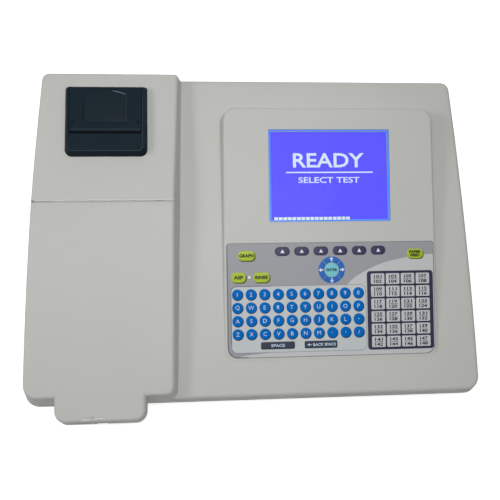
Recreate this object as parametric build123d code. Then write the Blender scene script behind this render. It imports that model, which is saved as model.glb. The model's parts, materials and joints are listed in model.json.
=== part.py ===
from build123d import *
from math import cos, radians, sin, sqrt, tan
import os

os.makedirs("parts", exist_ok=True)

# Benchtop chemistry analyzer: a wedge-shaped bench instrument with a display and
# keypad on the right, and on the left a taller block that holds the printer and,
# in front of it, a hinged lid over the sample bay.
# Millimetres and degrees. +Z is up, the operator sits on the -Y side and +X is to
# the operator's right. The origin is on the bench, under the middle of the box
# that holds the whole instrument.

# ---- Case ----
case_width = 453.0            # across the foot of the upper shell, at its widest
case_length = 321.0           # front wall to back wall at the foot of the upper shell
nose_reach = 18.3             # how far the lid's nose stands ahead of the front wall
foot_height = 8.0             # rubber feet
foot_radius = 10.0
foot_from_side = 42.0
foot_from_end = 34.0
tray_height = 12.0            # outside height of the base tray
tray_floor = 2.5
tray_inset = 8.0              # the tray's wall stands in from the shell's foot
tray_lip = 4.0                # rib that locates the shell
wall_draft = 8.0              # lean of the four outside walls
side_bow_radius = 4000.0      # gentle bow of both sides
side_bow_middle = 101.0       # where the sides are widest, behind the front wall
front_corner_radius = 15.0
back_corner_radius = 22.0
shell_wall = 2.8
shell_edge_radius = 4.0       # rounding round the sloping panel
block_edge_radius = 3.5       # rounding round the block and the lid
block_corner_radius = 4.0     # block's upright corner above the panel
fit_gap = 0.3                 # clearance between loose-fitting plastic parts

# ---- Slopes of the top faces ----
panel_slope = 16.0
console_slope = 20.0          # raised pod with the display and keypad
lid_slope = 18.1
block_slope = 12.8            # top of the fixed rear block
panel_front_height = 32.2     # front edge of the panel above the bench

# ---- Pod with the display and keypad ----
pod_from_side = 151.25        # middle of the pod in from the case's right side
pod_lip_up = 32.0             # panel's front edge to the pod's front lip, up the slope
pod_top_width = 211.0
pod_lip_width = 215.0
pod_above_display = 67.6      # display middle to the pod's top edge
display_up = 184.0            # pod's front lip to the display's middle
pod_top_radius = 13.0
pod_lip_radius = 12.0
pod_edge_radius = 2.5
pod_depth = 24.0              # how deep the pod is built before it meets the panel

# ---- Display ----
lens_width = 122.0
lens_height = 92.0
lens_thickness = 1.8
lens_ledge = 2.0
module_width = 136.0
module_height = 106.0
module_depth = 11.0
screen_width = 118.0
screen_height = 88.0
screen_thickness = 1.2

# ---- Keypad ----
overlay_width = 208.0
overlay_top = 67.0            # below the display's middle
overlay_bottom = 179.0
overlay_thickness = 0.8
overlay_top_radius = 3.0
overlay_bottom_radius = 10.0
key_proud = 0.7               # how far keys stand above the overlay
key_travel = 0.4
key_clearance = 0.25          # round each key in the overlay
keypad_rim = 2.8              # overlay carried by the pod outside the key opening
board_thickness = 1.6
board_overlap = 0.8           # keypad board behind the edge of the key opening
soft_key_count = 6
soft_key_pitch = 19.3
soft_key_down = 75.2
soft_key_width = 14.8
soft_key_height = 9.0
soft_key_offset = -0.8        # middle of the soft-key row from the pod's middle
ring_down = 94.1              # middle of the arrow ring below the display's middle
ring_radius = 13.2
ring_inner_radius = 7.6
ring_split = 0.9              # gap between two arrow keys
enter_radius = 7.2
letter_columns = 10
letter_rows = 4
letter_pitch_x = 13.4
letter_pitch_y = 12.97
letter_left = -94.2           # first letter key from the pod's middle
letter_down = 117.1
letter_radius = 5.3
test_columns = 4
test_rows = 6
test_pitch_x = 15.3
test_pitch_y = 12.5
test_x = 69.3                 # middle of the test-key grid
test_down = 135.2
test_key_width = 13.8
test_key_height = 10.8
function_radius = 4.4          # corners of the larger function keys
bar_down = 167.6
bar_height = 7.3
bar_radius = 1.5

# ---- Rear block and lid ----
block_width = 152.65          # case's left side to the block's right side, on the panel at the seam
block_lean = 15.0             # lean of the block's and the lid's right side
tower_yaw = 1.26              # the block's right side runs slightly out towards the back
lid_run = 178.5               # panel's front edge to the seam, level
seam_rise = 20.8              # block top above the panel at the seam
seam_gap = 0.45               # between the lid and the block
rim_gap = 0.6                 # between the lid's rim and the panel
lid_wall = 2.5
lid_corner_radius = 9.0
hinge_radius = 2.8            # lid's rear edge, rolled about the hinge
hinge_pin_radius = 1.0
hinge_ear_radius = 1.8
hinge_ear_width = 9.0
hinge_ear_inset = 14.0        # ears in from the lid's ends
running_gap = 0.05            # pins and shafts in their bores
nose_from_side = 76.1         # middle of the nose in from the case's left side
nose_width = 85.3
nose_corner_radius = 10.5
nose_foot = 22.0              # underside of the nose above the bench
nose_gap = 0.8                # nose ahead of the shell's front wall
nose_notch_width = 10.0       # notch for the sample tube
nose_notch_height = 4.5

# ---- Sample bay under the lid ----
bay_from_side = 78.0          # middle of the bay in from the case's left side
bay_width = 116.0
bay_front = 20.0              # up the panel from its front edge
bay_back = 168.0
bay_depth = 18.0
bay_wall = 2.0
bay_flange = 4.0
bay_corner = 6.0

# ---- Peristaltic pump ----
pump_up = 94.0                # pump shaft, up the panel from its front edge
pump_size = 48.0
pump_height = 17.0
pump_floor = 3.0
pump_track_radius = 17.2
roller_count = 3
roller_radius = 3.6
roller_circle = 10.6
roller_height = 8.0
rotor_plate = 2.0
rotor_radius = 13.4
pump_shaft_radius = 2.5
tube_radius = 1.6
pump_motor_size = 35.0
pump_motor_length = 20.0
band_width = 2.75             # tube pressed flat between the rollers and the track
band_height = 3.2
clamp_length = 39.0
clamp_width = 7.0
clamp_thickness = 3.0
clamp_pin_radius = 1.5
clamp_pin_inset = 3.0         # clamp pin in from the pump's side
clamp_leg_inset = 6.0
tube_bend = 5.0
probe_radius = 1.0
probe_reach = 9.0             # probe ahead of the front wall
probe_tip = 17.0              # end of the probe above the bench
probe_holder_up = 8.5
probe_level = 4.0             # probe above the deck
holder_width = 14.0
holder_length = 11.0
cell_cap = 18.0
cell_cap_height = 5.0
barb_length = 4.0
probe_line_side = 48.0        # tube to the probe, right of the bay's middle
cell_line_side = -24.0
waste_up = 135.0

# ---- Optics ----
optic_from_front = 149.75     # middle of the flow cell behind the front wall
optic_height = 36.0           # light path above the bench
cell_size = 12.0
cell_foot = 24.0
cell_top = 66.0
bench_width = 44.0
bench_thickness = 4.0
cell_block_length = 34.0
cell_block_top = 46.0
beam_radius = 3.0
wheel_from_cell = 42.0
wheel_thickness = 5.0
wheel_radius = 27.0
filter_circle = 21.0
filter_count = 8
filter_radius = 5.0
wheel_shaft_radius = 2.5
filter_motor_size = 32.0
filter_motor_length = 20.0
bracket_thickness = 3.0
lamp_from_cell = 112.0
lamp_box_width = 40.0
lamp_box_length = 42.0
lamp_box_height = 48.0
lamp_radius = 5.5
sheet_wall = 1.5

# ---- Printer, on the block's top ----
printer_from_side = 82.85     # printer's middle in from the case's left side
printer_up = 77.8             # seam to the printer's middle, up the block's slope
printer_width = 79.0
printer_length = 70.6
printer_proud = 8.0
printer_lean = 20.0           # lean of the bezel's sides
printer_depth = 42.0
printer_wall = 2.0
printer_body_inset = 5.5
door_width = 68.0
door_axis_from_back = 5.0     # door's hinge in from the bezel's back edge
door_ahead_of_roll = 8.6      # door's front edge ahead of the full roll
door_thickness = 3.4
door_pin_radius = 1.5
door_pin_length = 1.8
door_gap = 0.4
platen_from_door = 6.0        # platen behind the door's front edge
platen_z = -4.0
platen_radius = 4.5
platen_axle_radius = 1.5
platen_length = 54.0
arm_thickness = 2.5
roll_radius = 16.0
roll_width = 56.0
roll_core_radius = 6.0
roll_from_back = 23.3         # roll's middle in from the bezel's back edge
window_width = 41.0
window_from_front = 8.7       # window's front edge behind the door's
window_from_axis = 1.2        # window's far end ahead of the door's hinge
window_thickness = 1.2

# ---- Rear connector plate ----
plate_from_side = 119.0       # plate's middle in from the case's right side
plate_width = 156.0
plate_height = 46.0
plate_mid_height = 48.0
plate_thickness = 1.5
plate_overlap = 4.0
inlet_from_plate = 52.0       # from the plate's middle, and so for the rest
inlet_width = 30.0
inlet_height = 25.0
inlet_depth = 26.0
inlet_flange = 4.0
rocker_from_plate = 18.0
rocker_width = 13.0
rocker_height = 20.0
rocker_pin_radius = 1.5
rocker_tilt = 7.0             # each way from level
fan_from_plate = -24.0
fan_size = 40.0
fan_depth = 10.0
fan_rotor_radius = 17.5
fan_hub_radius = 8.0
fan_shaft_radius = 1.5
fan_blades = 7
port_from_plate = -56.0
port_width = 31.0
port_height = 12.5
port_depth = 12.0
waste_from_bay = 37.0         # waste tube's hole in the sample bay
waste_level = 45.0            # waste tube's run under the printer
nozzle_from_bay = 51.0
nozzle_height = 92.0
waste_radius = 3.0
waste_reach = 9.0
nozzle_flange = 2.0

# ---- Boards and power supply ----
main_board_from_pod = -12.5
main_board_from_front = 119.75
main_board_width = 190.0
main_board_length = 120.0
standoff_height = 5.0
supply_from_side = 79.0
supply_from_back = 76.25
supply_width = 98.0
supply_length = 66.0
supply_height = 34.0

# ---- Fasteners ----
boss_radius = 4.5
boss_from_end = 22.0
boss_from_side = 11.0
boss_rear_step = 16.0         # rear bosses stand further in than the front ones
screw_radius = 2.0
screw_head_radius = 3.6
screw_head_height = 2.0
screw_length = 14.0

# ---- Worked-out places ----
reach = 700.0                                   # larger than the instrument
shell_foot = foot_height + tray_height
total_length = case_length + nose_reach
back_y = total_length / 2
front_y = back_y - case_length
prism_top = 140.0
tray_top = shell_foot
tray_floor_top = foot_height + tray_floor
pod_x = case_width / 2 - pod_from_side
tower_foot_x = block_width - case_width / 2
bay_x = bay_from_side - case_width / 2
nose_x = nose_from_side - case_width / 2
waste_x = bay_x + waste_from_bay
nozzle_x = bay_x + nozzle_from_bay
printer_x = printer_from_side - case_width / 2
optic_y = front_y + optic_from_front
wheel_y = optic_y + wheel_from_cell
lamp_y = optic_y + lamp_from_cell
plate_x = case_width / 2 - plate_from_side
inlet_x = plate_x + inlet_from_plate
rocker_x = plate_x + rocker_from_plate
fan_x = plate_x + fan_from_plate
port_x = plate_x + port_from_plate
main_board_x = pod_x + main_board_from_pod
main_board_y = front_y + main_board_from_front
supply_x = case_width / 2 - supply_from_side
supply_y = back_y - supply_from_back
door_axis_y = printer_length / 2 - door_axis_from_back
roll_y = printer_length / 2 - roll_from_back
door_front = roll_y - roll_radius - door_ahead_of_roll
platen_y = door_front + platen_from_door


def wall_run(height):
    """How far a leaning outside wall comes in between the shell's foot and a height."""
    return (height - shell_foot) * tan(radians(wall_draft))


def side_bow(y):
    """How far the bowed sides come in at y, from where they are widest."""
    ahead_of_middle = y - front_y - side_bow_middle
    return side_bow_radius - sqrt(side_bow_radius ** 2 - ahead_of_middle ** 2)


def sloped(origin, slope):
    """Frame with x to the right, y up the slope and z out of the face."""
    lean = radians(slope)
    return Location(Plane(origin=origin, x_dir=(1, 0, 0), z_dir=(0, -sin(lean), cos(lean))))


panel_edge_y = front_y + wall_run(panel_front_height)
panel = sloped((0, panel_edge_y, panel_front_height), panel_slope)
pod_lip = (panel * Pos(pod_x, pod_lip_up, 0)).position
console = sloped(pod_lip, console_slope) * Pos(0, display_up, 0)
seam_y = panel_edge_y + lid_run
seam_z = panel_front_height + lid_run * tan(radians(panel_slope)) + seam_rise
lid_face = sloped((0, seam_y, seam_z), lid_slope)
block_face = sloped((0, seam_y, seam_z), block_slope)
printer = block_face * Pos(printer_x, printer_up, 0)
seam_up = lid_run / cos(radians(panel_slope))   # up the panel to below the seam


# ---- Building blocks ----
def behind(frame):
    """Everything on the inner side of a frame's xy plane."""
    return frame * Pos(0, 0, -reach) * Box(2 * reach, 2 * reach, 2 * reach)


def ahead(frame):
    """Everything on the outer side of a frame's xy plane."""
    return frame * Pos(0, 0, reach) * Box(2 * reach, 2 * reach, 2 * reach)


def block(x_low, x_high, y_low, y_high, z_low, z_high):
    """Box between two corners."""
    middle = Pos((x_low + x_high) / 2, (y_low + y_high) / 2, (z_low + z_high) / 2)
    return middle * Box(x_high - x_low, y_high - y_low, z_high - z_low)


def rod(x, y, z_low, z_high, radius):
    """Upright cylinder."""
    return Pos(x, y, (z_low + z_high) / 2) * Cylinder(radius, z_high - z_low)


def cross_rod(x_low, x_high, y, z, radius):
    """Cylinder along x."""
    return Pos((x_low + x_high) / 2, y, z) * Rot(0, 90, 0) * Cylinder(radius, x_high - x_low)


def long_rod(x, y_low, y_high, z, radius):
    """Cylinder along y."""
    return Pos(x, (y_low + y_high) / 2, z) * Rot(90, 0, 0) * Cylinder(radius, y_high - y_low)


def slab(width, height, thickness, radius):
    """Flat plate with rounded corners, its underside on the xy plane."""
    return extrude(RectangleRounded(width, height, radius), thickness)


def flat_face(shape, frame):
    """The planar face of a shape that lies in a frame's xy plane."""
    normal = Plane(frame).z_dir
    origin = frame.position
    found = [
        face for face in shape.faces().filter_by(GeomType.PLANE)
        if face.normal_at().dot(normal) > 0.9999 and abs((face.center() - origin).dot(normal)) < 0.01
    ]
    return max(found, key=lambda face: face.area)


def round_rim(shape, frame, radius, skip=None):
    """Round the edges of the face that lies in a frame's plane, apart from the skipped ones."""
    edges = [edge for edge in flat_face(shape, frame).edges() if skip is None or not skip(edge)]
    return fillet(edges, radius)


def upright_edges(shape, x, y, tolerance):
    """Edges whose middle is near a plan position and that run mostly upwards."""
    return [
        edge for edge in shape.edges()
        if abs(edge.center().X - x) < tolerance and abs(edge.center().Y - y) < tolerance
        and abs(edge.tangent_at(0.5).Z) > 0.8
    ]


# ---- Outer form of the case ----
def case_plan(height, grow):
    """Plan of the case at a height, moved outwards by grow."""
    run = wall_run(height) - grow
    half = case_width / 2 - run
    front = front_y + run
    back = back_y - run
    middle = (front + back) / 2
    side = [(half - side_bow(y), y) for y in (front, middle, back)]
    right = [
        Line((0, front), side[0]),
        ThreePointArc(*side),
        Line(side[-1], (0, back)),
    ]
    left = [edge.mirror(Plane.YZ) for edge in right]
    plan = make_face(Curve() + right + left)
    corners = plan.vertices().sort_by(Axis.Y)
    least = shell_wall + 1
    front_radius = max(front_corner_radius - run, least)
    back_radius = max(back_corner_radius - run, least)
    front_corners = [v for v in corners if abs(v.Y - front) < 0.01 and abs(v.X) > 1]
    back_corners = [v for v in corners if abs(v.Y - back) < 0.01 and abs(v.X) > 1]
    plan = fillet(front_corners, front_radius)
    back_corners = [v for v in plan.vertices() if abs(v.Y - back) < 0.01 and abs(v.X) > 1]
    return fillet(back_corners, back_radius)


def case_prism(grow=0.0, foot=shell_foot):
    """The case's four leaning walls, from a foot height up past its top."""
    low = Pos(0, 0, foot) * case_plan(foot, grow)
    high = Pos(0, 0, prism_top) * case_plan(prism_top, grow)
    return Solid.make_loft([low.faces()[0].outer_wire(), high.faces()[0].outer_wire()], ruled=True)


def tower_side(grow=0.0):
    """Frame on the block's leaning right side, z out of it."""
    yaw = radians(tower_yaw)
    lean = radians(block_lean)
    outwards = (cos(yaw) * cos(lean), -sin(yaw) * cos(lean), sin(lean))
    side = Location(Plane(origin=(0, 0, 0), x_dir=(sin(yaw), cos(yaw), 0), z_dir=outwards))
    return panel * Pos(tower_foot_x, seam_up, 0) * side * Pos(0, 0, grow)


def level_wall(y, towards_back):
    """Upright frame across the case at y, z towards the back or the front."""
    return Location(Plane(origin=(0, y, 0), x_dir=(1, 0, 0), z_dir=(0, 1 if towards_back else -1, 0)))


def pod_solid(inset=0.0):
    """The raised pod, down to just under the panel."""
    top = pod_above_display - inset
    lip = display_up - inset
    high = Polygon(
        (-pod_top_width / 2 + inset, top), (pod_top_width / 2 - inset, top),
        (pod_lip_width / 2 - inset, -lip), (-pod_lip_width / 2 + inset, -lip), align=None,
    )
    high = fillet(high.vertices().group_by(Axis.Y)[-1], pod_top_radius - inset)
    lip_corners = [v for v in high.vertices() if abs(v.Y + lip) < 0.01]
    high = fillet(lip_corners, pod_lip_radius - inset)
    low = offset(high, pod_depth * tan(radians(wall_draft)), kind=Kind.ARC)
    wires = [(Pos(0, 0, -pod_depth) * low).faces()[0].outer_wire(), high.faces()[0].outer_wire()]
    pod = console * Pos(0, 0, -inset) * Solid.make_loft(wires, ruled=True)
    if inset == 0:
        pod = round_rim(pod, console, pod_edge_radius)
    return pod & ahead(panel * Pos(0, 0, -shell_wall - 2 * inset + 0.5))


def rear_block(grow=0.0):
    """The fixed block behind the lid; grow is negative for its hollow inside."""
    solid = case_prism(grow, shell_foot + min(grow, 0)) & behind(block_face * Pos(0, 0, grow))
    solid = solid & ahead(level_wall(seam_y + seam_gap / 2 - grow, True)) & behind(tower_side(grow))
    if grow == 0:
        corner = tower_corner(back_y - wall_run(seam_z))
        solid = fillet(upright_edges(solid, *corner, 12), block_corner_radius)
        solid = round_rim(solid, block_face, block_edge_radius, lambda edge: edge.center().Y < seam_y + 1)
    return solid


def tower_corner(y):
    """Plan position of the block's right side at y, half way up the block above the panel."""
    return tower_foot_x + (y - seam_y) * tan(radians(tower_yaw)), y


def boss_places():
    """Plan positions of the screws that join the tray and the shell."""
    front = front_y + boss_from_end
    back = back_y - boss_from_end
    side = case_width / 2 - boss_from_side
    rear_side = side - boss_rear_step
    return [(-side, front), (0, front), (side, front), (-rear_side, back), (0, back), (rear_side, back)]


def rear_wall_frame(height):
    """Frame on the inner face of the leaning back wall at a height, z outwards."""
    lean = radians(wall_draft)
    y = back_y - wall_run(height) - shell_wall / cos(lean)
    return Location(Plane(origin=(0, y, height), x_dir=(-1, 0, 0), z_dir=(0, cos(lean), sin(lean))))


rear = rear_wall_frame(plate_mid_height)
hinge_y = seam_y - seam_gap / 2 - hinge_radius
hinge_z = seam_z - (seam_y - hinge_y) * tan(radians(lid_slope)) - hinge_radius / cos(radians(lid_slope))
lid_left = -case_width / 2 + wall_run(hinge_z) + side_bow(hinge_y)
lid_right = tower_foot_x - seam_rise * tan(radians(block_lean))
ear_places = [lid_left + hinge_ear_inset, lid_right - hinge_ear_inset]
opening_width = overlay_width - 2 * keypad_rim
opening_height = overlay_bottom - overlay_top - 2 * keypad_rim
overlay_down = (overlay_top + overlay_bottom) / 2
bay_middle = (bay_front + bay_back) / 2
pump = panel * Pos(bay_x, pump_up, bay_wall - bay_depth) * Rot(0, 0, 180)
clamp_pin = (clamp_pin_inset - pump_size / 2, clamp_leg_inset - pump_size / 2, 0)
band_low = pump_floor + fit_gap + rotor_plate + (roller_height - band_height) / 2
tube_level = bay_wall - bay_depth + band_low + band_height / 2
door_axis_z = printer_proud - door_thickness / 2 - 0.6
door_roll = printer_proud - door_axis_z
wheel_z = optic_height + filter_circle
bracket_y = wheel_y + wheel_thickness / 2 + 3.5


def hinge_ear(x):
    """Ear on the front of the rear block that holds one end of the hinge pin."""
    half = hinge_ear_width / 2
    barrel = cross_rod(x - half, x + half, hinge_y, hinge_z, hinge_ear_radius)
    drop = block(x - half, x + half, hinge_y - 0.75 * hinge_ear_radius, hinge_y + 0.6 * hinge_ear_radius,
                 hinge_z - 2 * hinge_radius, hinge_z - 0.5 * hinge_ear_radius)
    root = block(x - half, x + half, hinge_y - 0.75 * hinge_ear_radius, seam_y + shell_wall,
                 hinge_z - 2 * hinge_radius, hinge_z - hinge_radius - fit_gap)
    return barrel + drop + root


def upper_shell():
    """One-piece cover: sloping panel, pod, rear block and the deck under the lid."""
    outer = round_rim(case_prism() & behind(panel), panel, shell_edge_radius)
    outer = outer + rear_block() + pod_solid()
    lip = shell_foot - shell_wall
    hollow = case_prism(-shell_wall, lip) & behind(panel * Pos(0, 0, -shell_wall))
    hollow = hollow + rear_block(-shell_wall) + pod_solid(shell_wall)
    shell = outer - hollow
    for x, y in boss_places():
        boss = rod(x, y, shell_foot, prism_top, boss_radius) & hollow
        bore = rod(x, y, 0, shell_foot + screw_length, screw_radius)
        shell = shell + boss - bore
    for x in ear_places:
        shell = shell + hinge_ear(x)
    shell = shell - cross_rod(lid_left, lid_right, hinge_y, hinge_z, hinge_pin_radius)

    lens_hole = Box(lens_width - 2 * lens_ledge, lens_height - 2 * lens_ledge, 4 * shell_wall)
    lens_seat = Box(lens_width + fit_gap, lens_height + fit_gap, 2 * lens_thickness)
    shell = shell - console * lens_hole - console * lens_seat
    key_hole = Box(opening_width, opening_height, 4 * shell_wall)
    shell = shell - console * Pos(0, -overlay_down, 0) * key_hole
    shell = shell - console * Pos(0, 0, -overlay_thickness) * extrude(overlay_plan(fit_gap / 2), shell_wall)
    bay_hole = Box(bay_width + fit_gap, bay_back - bay_front + fit_gap, 4 * shell_wall)
    shell = shell - panel * Pos(bay_x, bay_middle, 0) * bay_hole
    body_width = printer_width - 2 * printer_body_inset + fit_gap
    body_length = printer_length - 2 * printer_body_inset + fit_gap
    shell = shell - printer * Box(body_width, body_length, 4 * shell_wall)
    window = Box(plate_width - 2 * plate_overlap, plate_height - 2 * plate_overlap, 4 * shell_wall)
    shell = shell - rear * Pos(-plate_x, 0, 0) * window
    waste_hole = Pos(-nozzle_x, 0, 0) * Cylinder(waste_radius, 4 * shell_wall)
    shell = shell - rear_wall_frame(nozzle_height) * waste_hole
    return shell


def base_tray():
    """Moulded tray that carries everything; the upper shell stands on its flange."""
    outer = extrude(Pos(0, 0, foot_height) * case_plan(shell_foot, -tray_inset), tray_height)
    inner = extrude(Pos(0, 0, tray_floor_top) * case_plan(shell_foot, -tray_inset - tray_floor), tray_height)
    flange = extrude(Pos(0, 0, tray_top - tray_floor) * case_plan(shell_foot, -shell_wall / 4), tray_floor)
    rib_gap = shell_wall + wall_run(tray_top + tray_lip) + fit_gap
    rib = extrude(Pos(0, 0, tray_top) * case_plan(shell_foot, -rib_gap), tray_lip)
    rib = rib - extrude(Pos(0, 0, tray_top) * case_plan(shell_foot, -rib_gap - tray_floor), tray_lip)
    flange = flange - extrude(Pos(0, 0, foot_height) * case_plan(shell_foot, -tray_inset - tray_floor), reach)
    tray = outer + flange + rib - inner
    for x, y in boss_places():
        tray = tray - rod(x, y, shell_foot, reach, boss_radius + fit_gap)
        tray = tray + rod(x, y, foot_height, shell_foot, boss_radius)
        tray = tray - rod(x, y, 0, reach, screw_radius + fit_gap)
        tray = tray - rod(x, y, 0, foot_height + screw_head_height, screw_head_radius + fit_gap)
    for x, y in standoff_places():
        tray = tray + rod(x, y, tray_floor_top, tray_floor_top + standoff_height, boss_radius)
    return tray


def standoff_places():
    """Pillars under the corners of the main board."""
    dx = main_board_width / 2 - boss_radius
    dy = main_board_length / 2 - boss_radius
    return [(main_board_x + i * dx, main_board_y + j * dy) for i in (-1, 1) for j in (-1, 1)]


def foot_places():
    """Plan positions of the four rubber feet."""
    side = case_width / 2 - foot_from_side
    return [(i * side, y) for i in (-1, 1) for y in (front_y + foot_from_end, back_y - foot_from_end)]


def rubber_feet():
    """Four round feet, slightly smaller at the bench."""
    return Compound(children=[
        Pos(x, y, foot_height / 2) * Cone(foot_radius - 1, foot_radius, foot_height) for x, y in foot_places()
    ])


def case_screws():
    """Pan-head screws up through the tray into the shell's bosses."""
    seat = foot_height + screw_head_height
    return Compound(children=[
        rod(x, y, seat - screw_head_height, seat, screw_head_radius)
        + rod(x, y, seat, seat + screw_length, screw_radius) for x, y in boss_places()
    ])


# ---- Lid ----
def lid_form(grow=0.0):
    """Outer form of the lid, or its hollow when grow is negative."""
    solid = case_prism(grow) & behind(lid_face * Pos(0, 0, grow)) & behind(tower_side(grow))
    solid = solid & ahead(level_wall(seam_y - seam_gap / 2, False))
    corner = tower_corner(front_y)
    if grow == 0:
        solid = fillet(upright_edges(solid, *corner, 12), lid_corner_radius)
    front = front_y - nose_reach - grow
    side = lid_wall * 8
    radius = nose_corner_radius + grow
    width = nose_width + 2 * grow
    nose_plan = Rectangle(width, 2 * radius + side)
    nose = extrude(Pos(nose_x, front + radius + side / 2, nose_foot) * nose_plan, reach)
    nose = fillet([e for e in nose.edges() if e.length > reach - 1 and e.center().Y < front + 1], radius)
    return solid + (nose & behind(lid_face * Pos(0, 0, grow)))


def sample_lid():
    """Hinged lid with the nose that covers the sample probe."""
    lid = lid_form()
    lid = round_rim(lid, lid_face, block_edge_radius, lambda edge: edge.center().Y > seam_y - 2)
    lid = lid - lid_form(-lid_wall)
    lid = lid + (cross_rod(lid_left, lid_right, hinge_y, hinge_z, hinge_radius) & lid_form(-lid_wall / 2))
    lid = lid - lid_rear_corner()
    for x in ear_places:
        lid = lid - ear_pocket(x)
    lid = lid - cross_rod(lid_left + lid_wall, lid_right - lid_wall, hinge_y, hinge_z,
                          hinge_pin_radius + running_gap)
    notch = block(nose_x - nose_notch_width / 2, nose_x + nose_notch_width / 2, front_y - 2 * nose_reach,
                  front_y - nose_reach + 2 * lid_wall, nose_foot - 1, nose_foot + nose_notch_height)
    return (lid - case_below_rim() - notch).solids()[0]


def case_below_rim():
    """What the lid and its nose stay clear of: the case up to just above the panel."""
    return case_prism(nose_gap) & behind(panel * Pos(0, 0, rim_gap))


def lid_rear_corner():
    """Waste outside the rolled rear edge, above and behind the hinge."""
    lean = radians(lid_slope)
    corner = block(-reach, reach, hinge_y - hinge_radius * sin(lean), seam_y, hinge_z, seam_z + hinge_radius)
    return corner - cross_rod(-reach, reach, hinge_y, hinge_z, hinge_radius)


def ear_pocket(x):
    """Room in the lid's rear edge for one ear of the shell and its neck."""
    half = hinge_ear_width / 2 + fit_gap
    barrel = cross_rod(x - half, x + half, hinge_y, hinge_z, hinge_ear_radius + fit_gap)
    below = block(x - half, x + half, hinge_y - 2 * hinge_radius, seam_y, hinge_z - 3 * hinge_radius, hinge_z)
    rear_start = hinge_y + 0.4 * hinge_radius
    rear = block(x - half, x + half, rear_start, seam_y, hinge_z, hinge_z + 0.6 * hinge_radius)
    return barrel + below + rear


def lid_hinge_pin():
    """Steel rod through the shell's ears and the lid's rolled edge."""
    overhang = hinge_ear_width / 2 + 1
    return cross_rod(ear_places[0] - overhang, ear_places[1] + overhang, hinge_y, hinge_z, hinge_pin_radius)


# ---- Sample bay, pump and probe ----
def sample_bay():
    """Drip tray hung in the deck under the lid."""
    width = bay_width - fit_gap
    length = bay_back - bay_front - fit_gap
    flange = slab(width + 2 * bay_flange, length + 2 * bay_flange, bay_wall, bay_corner)
    body = Pos(0, 0, -bay_depth) * slab(width, length, bay_depth, bay_corner)
    hollow = slab(width - 2 * bay_wall, length - 2 * bay_wall, bay_depth + bay_wall, bay_corner - bay_wall)
    tray = panel * Pos(bay_x, bay_middle, 0) * (flange + body - Pos(0, 0, bay_wall - bay_depth) * hollow)
    tray = tray - pump * Pos(0, 0, -bay_wall) * Cylinder(pump_shaft_radius + 2, 4 * bay_wall)
    well = cell_size + 4 * fit_gap
    tray = tray - block(bay_x - well / 2, bay_x + well / 2, optic_y - well / 2, optic_y + well / 2, 0, reach)
    return tray - panel * Pos(waste_x, waste_up, 0) * Cylinder(tube_radius + fit_gap, 6 * bay_depth)


def pump_housing():
    """Block with the round track that the tube lies in."""
    half = pump_size / 2
    body = slab(pump_size, pump_size, pump_height, 4)
    pocket = Pos(0, 0, pump_floor + pump_height / 2) * Cylinder(pump_track_radius, pump_height)
    shaft_hole = Cylinder(pump_shaft_radius + 1, 4 * pump_floor)
    pin_hole = rod(clamp_pin[0], clamp_pin[1], pump_height / 2, pump_height + 1, clamp_pin_radius)
    body = body - pocket - shaft_hole - pin_hole
    for side in (-1, 1):
        x = side * (pump_track_radius - band_width / 2)
        body = body - block(x - band_width / 2, x + band_width / 2, -half - 1, 0, band_low, pump_height + 1)
    return pump * body


def pump_rotor():
    """Shaft and two plates that carry the rollers."""
    low = pump_floor + fit_gap
    plate = Cylinder(rotor_radius, rotor_plate)
    rotor = Pos(0, 0, low + rotor_plate / 2) * plate
    rotor = rotor + Pos(0, 0, low + roller_height + 1.5 * rotor_plate) * plate
    rotor = rotor + rod(0, 0, -pump_motor_length / 2, low + roller_height + rotor_plate, pump_shaft_radius)
    return pump * rotor


def pump_rollers():
    """Rollers between the rotor's plates."""
    low = pump_floor + fit_gap + rotor_plate
    roller = rod(roller_circle, 0, low, low + roller_height, roller_radius)
    return Compound(children=[
        pump * Rot(0, 0, 90 + i * 360 / roller_count) * roller for i in range(roller_count)
    ])


def pump_motor():
    """Flat stepper motor under the bay's floor."""
    can = slab(pump_motor_size, pump_motor_size, pump_motor_length, 4)
    body = Pos(0, 0, -bay_wall - pump_motor_length) * can
    bore = rod(0, 0, -pump_motor_length / 2 - 2, 0, pump_shaft_radius + running_gap)
    return pump * (body - bore)


def pump_clamp():
    """Flat lever that holds both tube ends down; it swings out over the bay."""
    x, y, _ = clamp_pin
    low = pump_height + fit_gap
    bar = Pos(x + clamp_length / 2, y, low) * slab(clamp_length + clamp_width, clamp_width, clamp_thickness,
                                                  clamp_width / 2 - 0.1)
    pin = rod(x, y, pump_height / 2 + fit_gap, low + clamp_thickness, clamp_pin_radius - running_gap)
    return pump * (bar + pin)


def tube_run(points, bend):
    """Round tube along straight runs joined by arcs."""
    path = FilletPolyline(*points, radius=bend)
    start = Plane(origin=path @ 0, z_dir=path % 0)
    return sweep(start * Circle(tube_radius), path=path)


def on_deck(x, up, out):
    """Point given across, up the panel and out of it."""
    return (panel * Pos(x, up, out)).position


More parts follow.
